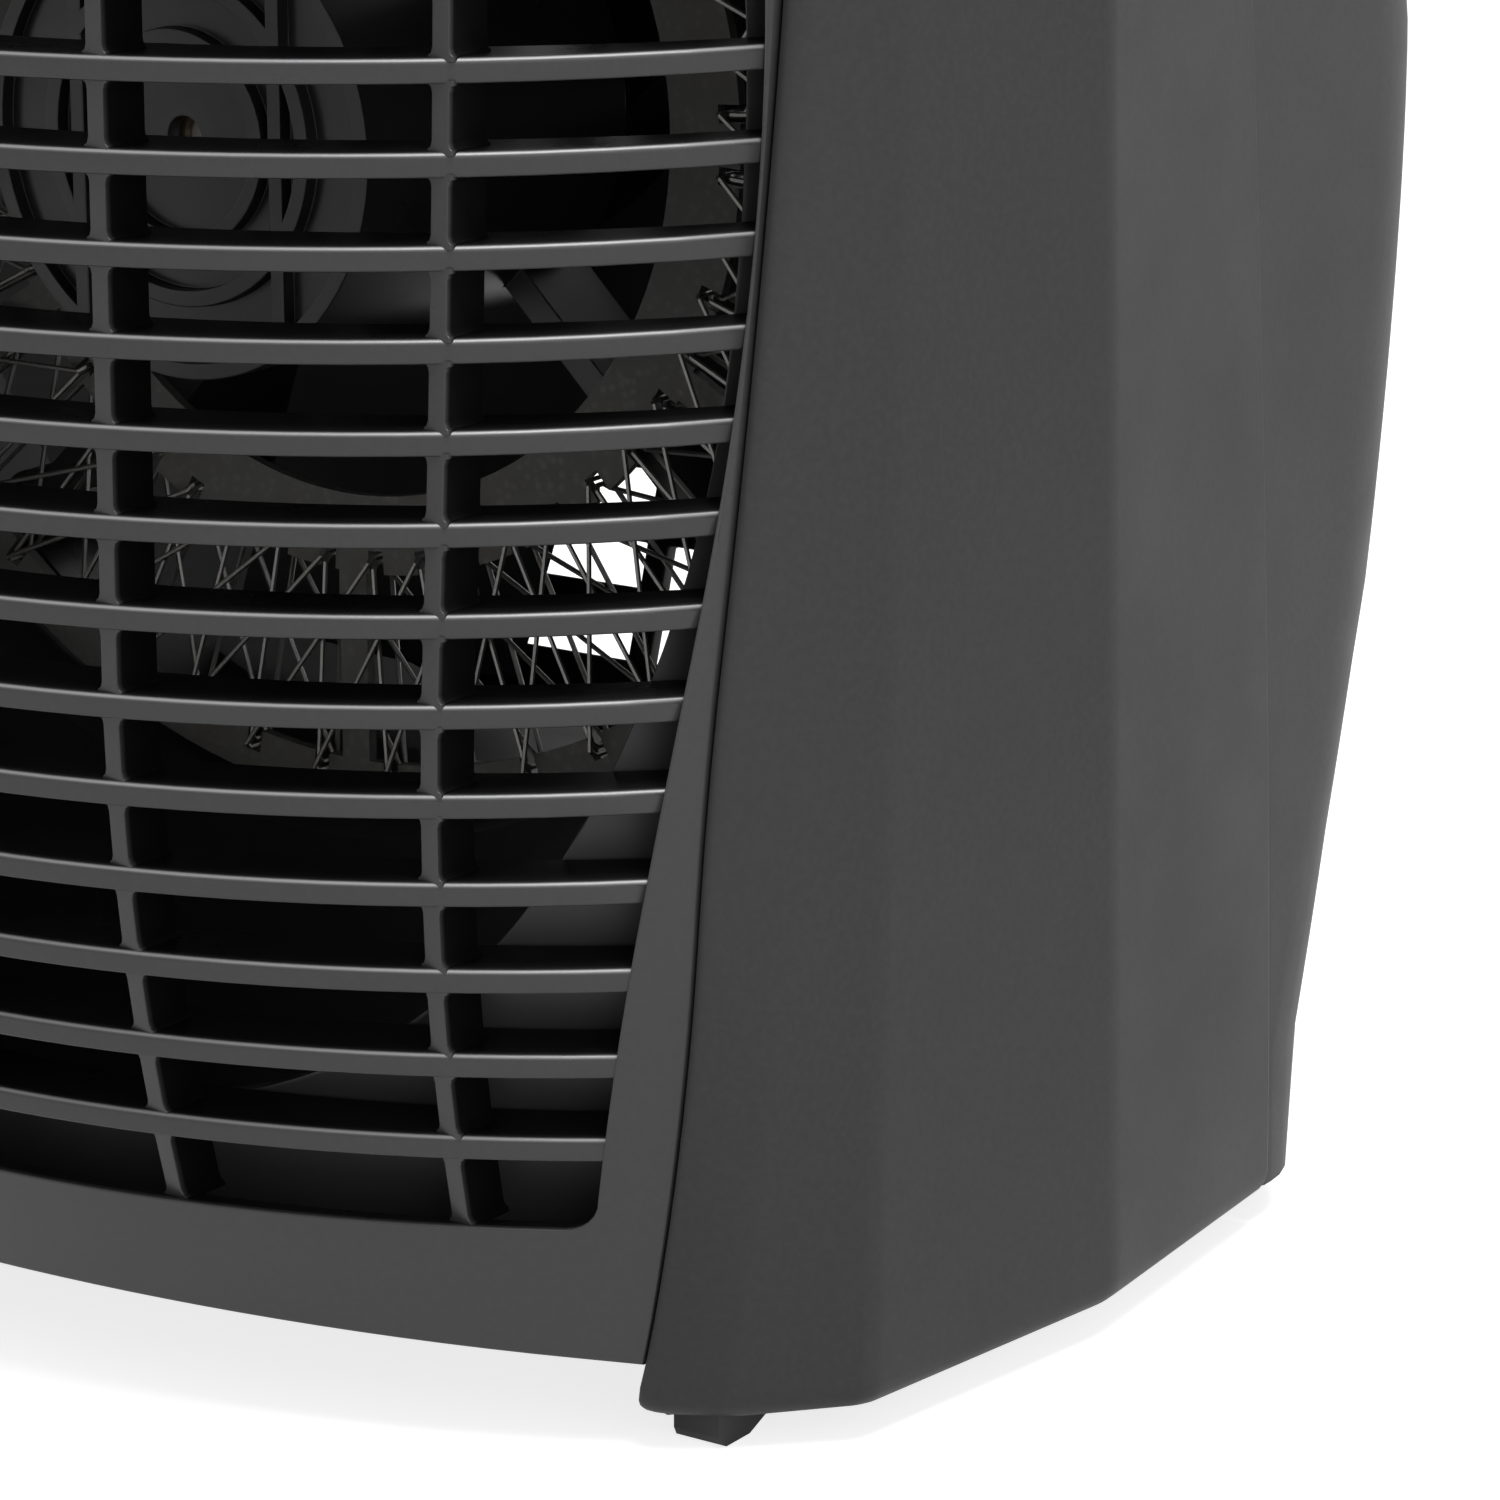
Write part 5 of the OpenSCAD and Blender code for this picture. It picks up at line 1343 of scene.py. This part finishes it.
    def build(self) -> None:
        """Build the top with its scales."""
        self.shell()
        self.scale("selector_scale", -self.knob_x, 4, 1)
        self.scale("thermostat_scale", self.knob_x, 6, 4)


@dataclass
class Handle:
    """The fixed carrying handle behind the knobs."""

    width: float = 100.0
    deep: float = 20.0
    bar: float = 11.0
    leg: float = 13.0
    gap: float = 23.0
    at: float = 100.0
    corner: float = 14.0
    foot: float = 240.1
    soft: float = 3.0

    def arch(self, half: float, top: float, r: float) -> list[Point]:
        """Give an arch from its left foot over to its right foot, on the handle's front face."""
        turn = arc(0, 90, 10)
        points = [(-half, 0.0)] + [(-half + r - r * c, top - r + r * s) for c, s in turn]
        points += [(half - r + r * s, top - r + r * c) for c, s in turn] + [(half, 0.0)]
        y = FORM.depth(self.at - self.deep / 2)
        return [(u, y, self.foot + v) for u, v in points]

    def build(self) -> None:
        """Build the handle with soft edges, except where it stands on the deck."""
        bm, half = bmesh.new(), self.width / 2
        outer = self.arch(half, self.gap + self.bar, self.corner)
        loft(bm, [outer, self.arch(half - self.leg, self.gap, self.corner / 2)], caps=(), closed=False)
        made = bmesh.ops.extrude_face_region(bm, geom=list(bm.faces))["geom"]
        verts = [v for v in made if isinstance(v, bmesh.types.BMVert)]
        bmesh.ops.translate(bm, verts=verts, vec=Vector((0, self.deep, 0)) * MM)
        outward(bm)
        floor = (self.foot + 0.01) * MM
        free = [e for e in sharp_edges(bm, 60) if any(v.co.z >= floor for v in e.verts)]
        soften_edges(bm, free, self.soft, 5)
        piece(bm, "handle_grip", BLACK, ["carry_handle"])


@dataclass
class Knob:
    """One turning knob: a skirt, a drum with flutes, a grip bar and a white pointer."""

    name: str
    x: float
    body: Body
    r: float = 16.0
    h: float = 14.0
    at: float = 58.0
    foot: float = 240.5
    flutes: int = 40
    flute: Point = (0.9, 0.9, 5.2)
    flute_in: float = 2.25
    flute_z: float = 6.0
    grip_w: float = 5.0
    grip_in: float = 1.5
    grip_h: float = 12.0
    mark_w: float = 1.2
    mark_h: float = 0.36
    mark_proud: float = 0.06
    mark_in: tuple[float, float] = (3.0, 2.9)

    def build(self) -> None:
        """Build the knob and its pointer."""
        x, y, z = centre = (self.x, FORM.depth(self.at), self.foot)
        bm = bmesh.new()
        skirt = [(0.3, 0), (0, 0.3), (0, 2.3), (0.25, 2.85), (0.8, 3), (1.9, 3.05)]
        drum = [(2.2, 3.4), (2.5, 8.8), (2.8, 9.6), (3.6, 9.95), (7, 9.8)]
        profile = [(0, 0.05)] + [(self.r - inset, h) for inset, h in skirt + drum] + [(0, 9.7)]
        lathe(bm, profile, centre, count=96)
        for i in range(self.flutes):
            out = shift((0, self.r - self.flute_in, self.flute_z))
            place = shift(centre) @ turn_z(math.tau * i / self.flutes) @ out
            soften_box(bm, cube(bm, place, self.flute), 0.25, 1)
        middle = z + self.h - self.grip_h / 2
        grip = cube(bm, shift((x, y, middle)), (self.grip_w, 2 * (self.r - self.grip_in), self.grip_h))
        top = [v for v in grip if v.co.z > middle * MM]
        bmesh.ops.scale(bm, vec=(0.8, 0.97, 1), verts=top, space=shift(-Vector(centre)))
        soften_box(bm, grip, 1.0, 4)
        piece(bm, f"{self.name}_grip", KNOB, [f"{self.name}_knob"], self.body)
        near, far = self.mark_in[0], self.r - self.mark_in[1]
        mark = bmesh.new()
        place = shift((x, y - (near + far) / 2, z + self.h + self.mark_proud - self.mark_h / 2))
        soften_box(mark, cube(mark, place, (self.mark_w, far - near, self.mark_h)), 0.05)
        piece(mark, f"{self.name}_pointer", PRINT, body=self.body, slot="black_plastic", even=False)


# ---------------------------------------------------------------- inside


@dataclass
class AirPath:
    """The baffle with its rounded opening, and the tunnel from there to the duct's rim."""

    oval_a: float = 66.0
    oval_b: float = 84.5
    power: float = 2.75
    front: float = 10.25
    thick: float = 2.0
    edge_round: float = 0.5
    edge_gap: float = 2.0
    foot_gap: float = 4.2
    aspect: float = 0.72
    duct_r: float = 72.0
    duct_front: float = 64.0
    tunnel_wall: float = 1.5
    joint: float = 0.1
    count: int = 144

    def oval(self, c: float, s: float, w: float = 0.0) -> Vector:
        """Give a point of the opening's outline in front view, moved out by w."""
        k = 2 / self.power
        x, z = math.copysign(abs(c) ** k, c), math.copysign(abs(s) ** k, s)
        return Vector(((self.oval_a + w) * x, FORM.axis_z + (self.oval_b + w) * z))

    def frame_point(self, c: float, s: float) -> Vector:
        """Give the baffle's outer edge in front view, across from a point of the opening."""
        up, down = FORM.shell_top - FORM.axis_z, FORM.axis_z - FORM.panel_bottom
        h = up - self.edge_gap if s > 0 else down - self.foot_gap
        if abs(s) * self.aspect > abs(c):
            z, k = FORM.axis_z + math.copysign(h, s), c / (abs(s) * self.aspect)
        else:
            z, k = FORM.axis_z + h * s / abs(c) * self.aspect, math.copysign(1.0, c)
        return Vector((k * (FORM.edge_x(z) - FORM.seam), z))

    def baffle_row(self, share: float, inset: float, back: float) -> list[Point]:
        """Give a row of points a share of the way out, and back from the panel's surface."""
        points = []
        for c, s in arc(0, 360, self.count)[:-1]:
            a, b = self.oval(c, s), self.frame_point(c, s)
            p = a.lerp(b, share + min(inset / (b - a).length, 0.3))
            points.append((p.x, FORM.panel_y(p.x, p.y) + back, p.y))
        return points

    def tunnel_row(self, share: float, w: float) -> list[Point]:
        """Give a row of points a share of the way from mouth to rim, moved out by w."""
        back, far = self.front + self.thick + self.joint, FORM.depth(self.duct_front - self.joint)
        points = []
        for c, s in arc(0, 360, self.count)[:-1]:
            p, r = self.oval(c, s, w), self.duct_r + w
            mouth = Vector((p.x, FORM.panel_y(p.x, p.y) + back, p.y))
            points.append(mouth.lerp(Vector((r * c, far, FORM.axis_z + r * s)), share))
        return points

    def build(self) -> None:
        """Build the bowed baffle with a rounded inner edge, and the tunnel."""
        f, b, r = self.front, self.front + self.thick, self.edge_round
        rows = [(0, 0, f + r), (0, r * 0.3, f + r * 0.3), (0, r, f)]
        rows += [(t, 0, f) for t in (0.25, 0.5, 0.75, 1.0)]
        rows += [(t, 0, b) for t in (1.0, 0.75, 0.5, 0.25, 0.0)]
        bm = bmesh.new()
        loft(bm, [self.baffle_row(*row) for row in rows], around=True)
        piece(bm, "baffle_plate", ENAMEL, ["outlet_baffle"])
        shares, bm = steps(0, 1, 8), bmesh.new()
        rows = [(t, 0) for t in shares] + [(t, self.tunnel_wall) for t in reversed(shares)]
        loft(bm, [self.tunnel_row(*row) for row in rows], around=True)
        piece(bm, "tunnel_skin", BLACK, ["air_tunnel"], sharp=60)


@dataclass
class HeatingWire:
    """One resistance wire, laced twice round the mica plate through every second notch."""

    name: str
    first: int
    notches: int = 48
    inner_r: float = 45.8
    outer_r: float = 67.7
    end_r: float = 71.6
    plate_at: float = 73.0
    off: float = 1.08
    layer: float = 0.75
    wire_r: float = 0.28
    bend: float = 0.6

    def at(self, r: float, k: int, y: float) -> Vector:
        """Give a place at a notch: a radius, the notch's number and how far behind the plate's middle."""
        a = math.radians(90 + 360 / self.notches * (k + 0.5))
        return Vector((r * math.cos(a), FORM.depth(self.plate_at) + y, FORM.axis_z + r * math.sin(a)))

    def lace(self, k: int, out: float, y: float, straight: bool) -> list[Vector]:
        """Give one loop: in along the front, through the plate, out along the back and through again.

        Args:
            k: The notch that it starts at.
            out: How far its hooks lie outside those of the first lacing.
            y: How far the wire lies from the plate's middle.
            straight: Whether the front strand is the radial one; otherwise the back strand is.

        Returns:
            Points along the wire.
        """
        inner, outer, c = self.inner_r - out, self.outer_r + out, self.bend
        i, b = (k if straight else k + 2), k + 2
        places = [(outer - c, k, -y), (inner + c, i, -y), (inner, i, c - y), (inner, i, y - c)]
        places += [(inner + c, i, y), (outer - c, b, y), (outer, b, y - c), (outer, b, c - y)]
        return [self.at(*place) for place in places]

    def build(self) -> None:
        """Build both lacings of the wire."""
        bm = bmesh.new()
        starts = [self.first + 2 * i for i in range(self.notches // 2 - 1)]
        last = starts[-1] + 2
        near = [self.at(self.end_r, self.first, -self.off)]
        near += [p for k in starts for p in self.lace(k, 0.0, self.off, True)]
        near += [self.at(r, last, -self.off) for r in (self.outer_r + self.bend, self.end_r)]
        tube(bm, near, self.wire_r)
        far = [p for k in starts for p in self.lace(k, self.layer, self.off + self.layer, False)]
        tube(bm, far, self.wire_r)
        piece(bm, f"{self.name}_laced", WIRE, [self.name], even=False)


@dataclass
class Softened:
    """A CAD node that is shown by a copy with rounded edges."""

    node: str
    finish: Finish
    radius: float = 0.25
    body: Body = Body.CASING

    def build(self, nodes: dict[str, Object]) -> None:
        """Build the copy, with its loose triangles joined and its flat faces whole."""
        bm = bmesh.new()
        bm.from_mesh(nodes[self.node].data)
        bmesh.ops.remove_doubles(bm, verts=bm.verts, dist=2e-6)
        flat = math.radians(0.4)
        bmesh.ops.dissolve_limit(bm, angle_limit=flat, verts=bm.verts, edges=bm.edges, delimit={"NORMAL"})
        soften_edges(bm, sharp_edges(bm, 35), self.radius)
        piece(bm, f"{self.node}_soft", self.finish, [self.node], self.body, sharp=32)


@dataclass
class Screws:
    """A set of equal screws with domed heads and cross recesses."""

    node: str
    places: list[Point]
    axis: Point
    length: float
    r: float = 1.4
    head_r: float = 2.7
    head_h: float = 1.8
    thread: float = 0.9
    thread_h: float = 0.22
    thread_z0: float = 0.4
    cross_w: float = 0.45
    cross_l: float = 1.5

    def one(self) -> Mesh:
        """Build one screw at the origin, pointing along +Z from under its head."""
        h, r, w, l = self.head_h, self.head_r, self.cross_w, self.cross_l
        profile = [(0, -h), (r * 0.55, -h + 0.08), (r * 0.85, -h * 0.72), (r, -h * 0.35), (r, 0), (self.r, 0)]
        for i in range(int(self.length / self.thread) - 1):
            z = self.thread_z0 + i * self.thread
            profile += [(self.r - self.thread_h, z), (self.r, z + self.thread / 2)]
        bm, cutter = bmesh.new(), bmesh.new()
        lathe(bm, profile + [(self.r * 0.7, self.length - 0.5), (0, self.length)], (0, 0, 0), count=28)
        bmesh.ops.remove_doubles(bm, verts=bm.verts, dist=1e-7)
        outward(bm)
        cross = []
        for i in range(4):
            turn = Matrix.Rotation(math.pi / 2 * i, 2)
            cross += [turn @ Vector(p) for p in ((w, w), (w, l), (-w, l))]
        loft(cutter, [[(*p, z) for p in cross] for z in (-h - 1, -h * 0.35)])
        return carve(bm, cutter)

    def build(self) -> None:
        """Put a screw at each place, each turned a little further."""
        mesh, bm = bpy.data.meshes.new("screw"), bmesh.new()
        one = self.one()
        one.to_mesh(mesh)
        one.free()
        for i, at in enumerate(self.places):
            stamp(bm, mesh, shift(at) @ turn_to(self.axis) @ turn_z(0.7 * i + 0.3))
        bpy.data.meshes.remove(mesh)
        piece(bm, f"{self.node}_crossed", SCREW, [self.node], even=False)


# ---------------------------------------------------------------- studio


@dataclass
class Studio:
    """The camera, the soft lamps and the plain pale floor. Its lengths are in metres."""

    eye: Point = (0.33048, -0.43086, 0.19180)
    azimuth: float = 33.87
    dip: float = 15.24
    lens: float = 131.0
    paper: float = 0.54
    paper_spread: float = 0.02
    paper_lift: float = 0.79
    paper_half: float = 6.0
    sky_light: float = 0.4

    def put(self, name: str, data: Any, at: Point, look: Vector) -> Object:
        """Add a camera or a lamp that faces along a direction."""
        obj = bpy.data.objects.new(name, data)
        obj.location, obj.rotation_mode = at, "QUATERNION"
        obj.rotation_quaternion = look.to_track_quat("-Z", "Y")
        bpy.context.scene.collection.objects.link(obj)
        return obj

    def camera(self) -> None:
        """Set the camera at the photograph's place."""
        a, e = math.radians(self.azimuth), math.radians(self.dip)
        look = Vector((-math.sin(a) * math.cos(e), math.cos(a) * math.cos(e), -math.sin(e)))
        data = bpy.data.cameras.new("camera")
        data.lens, data.sensor_width, data.clip_start, data.clip_end = self.lens, 36.0, 0.01, 50.0
        bpy.context.scene.camera = self.put("camera", data, self.eye, look)

    def lamp(self, name: str, at: Point, size: tuple[float, float], radiance: float, aim: Point) -> None:
        """Add a rectangular soft lamp.

        Args:
            name: The lamp's name.
            at: Its middle.
            size: Its width and height.
            radiance: How bright its face is.
            aim: The point that it faces.
        """
        data = bpy.data.lights.new(name, "AREA")
        data.shape, (data.size, data.size_y) = "RECTANGLE", size
        data.energy = radiance * math.pi * size[0] * size[1]
        self.put(name, data, at, Vector(aim) - Vector(at))

    def floor(self) -> None:
        """Lay a pale floor that takes the heater's shadow."""
        bm = bmesh.new()
        bmesh.ops.create_grid(bm, x_segments=1, y_segments=1, size=self.paper_half)
        obj = loose_object(bm, "floor")
        material = bpy.data.materials.new("floor_paper")
        g = Graph(material)
        dark, pale = (self.paper,) * 3, (self.paper + self.paper_spread,) * 3
        g.set(
            Base_Color=g.mix(g.noise(40.0, detail=3.0), dark, pale),
            Roughness=0.9, Specular_IOR_Level=0.0, Emission_Color=WHITE,
            Emission_Strength=g.node("Math", 0, {0: g.seen(), 1: self.paper_lift}, operation="MULTIPLY"),
        )
        obj.data.materials.append(material)

    def sky(self) -> None:
        """Light the scene softly from all round, white where it is seen."""
        world = bpy.context.scene.world = bpy.data.worlds.new("studio")
        g = Graph(world, "Background", "OutputWorld")
        g.set(Color=WHITE, Strength=g.ranged(g.seen(), self.sky_light, 1.0))

    def build(self) -> None:
        """Set up the studio."""
        self.camera()
        self.floor()
        self.sky()
        self.lamp("overhead", (0.35, -0.1, 1.2), (0.6, 0.5), 16.0, (0.0, 0.0, 0.1))
        self.lamp("right_bank", (1.3, -0.75, 0.6), (1.0, 1.0), 1.0, (0.0, 0.0, 0.08))
        bpy.context.scene.view_settings.view_transform = "Standard"


# ---------------------------------------------------------------- the whole heater


PLAIN_FINISHES: dict[str, Finish] = {
    "fan_clip": STEEL, "motor_stator": STACK, "motor_winding": COIL, "motor_bearings": BRONZE,
    "motor_rotor": STACK, "motor_shaft": STEEL, "heater_mica": MICA, "heater_standoffs": MICA,
    "thermal_fuse": FUSE, "control_plate": STEEL, "selector_spindle": STEEL,
    "thermostat_spindle": STEEL, "pilot_lamp": GLASS, "pilot_lens": RED, "supply_leads": BROWN,
    "heater_leads": SLEEVE, "motor_leads": SLEEVE, "cord_inlet": BLACK, "base_screws": SCREW,
    "handle_screws": SCREW, "plate_screws": SCREW,
}

SOFT_NODES = [
    Softened("base_plate", BLACK, 0.35),
    Softened("front_feet", FOOT, 1.2),
    Softened("rear_feet", FOOT, 0.8),
    Softened("fan_duct", BLACK, 0.3),
    Softened("fan_impeller", BLACK, 0.35, Body.FAN),
    Softened("motor_bracket", MOTOR, 0.35),
    Softened("motor_end_cap", MOTOR, 0.3),
    Softened("thermal_cutout", STEEL),
    Softened("selector_switch", SWITCH),
    Softened("thermostat", SWITCH),
    Softened("terminal_block", CERAMIC, 0.3),
]


def screw_set(node: str, off: float, d: float, axis: Point, length: float) -> Screws:
    """Give four screws at a depth, each off the fan's axis by as much in X as in Z."""
    places = [(sx * off, FORM.depth(d), FORM.axis_z + sz * off) for sx in BOTH for sz in BOTH]
    return Screws(node, places, axis, length)


def main() -> None:
    """Build the heater's looks around its frame."""
    logging.basicConfig(level=logging.INFO, format="%(message)s")
    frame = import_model()
    nodes = frame["nodes"]
    Studio().build()
    Grille().build()
    for side in Side:
        SideShell(side).build()
    RearCover().build()
    TopCover().build()
    Handle().build()
    Knob("selector", -30.0, Body.SELECTOR).build()
    Knob("thermostat", 30.0, Body.DIAL).build()
    AirPath().build()
    HeatingWire("heater_wire_a", 0).build()
    HeatingWire("heater_wire_b", 1).build()
    for soft in SOFT_NODES:
        soft.build(nodes)
    screw_set("rear_screws", 58.0, 118.6, (0, -1, 0), 14.0).build()
    screw_set("bracket_screws", 67.0 / math.sqrt(2), 77.9, BACKWARD, 13.0).build()
    for name, finish in PLAIN_FINISHES.items():
        dress(nodes[name], finish)


if __name__ == "__main__":
    main()
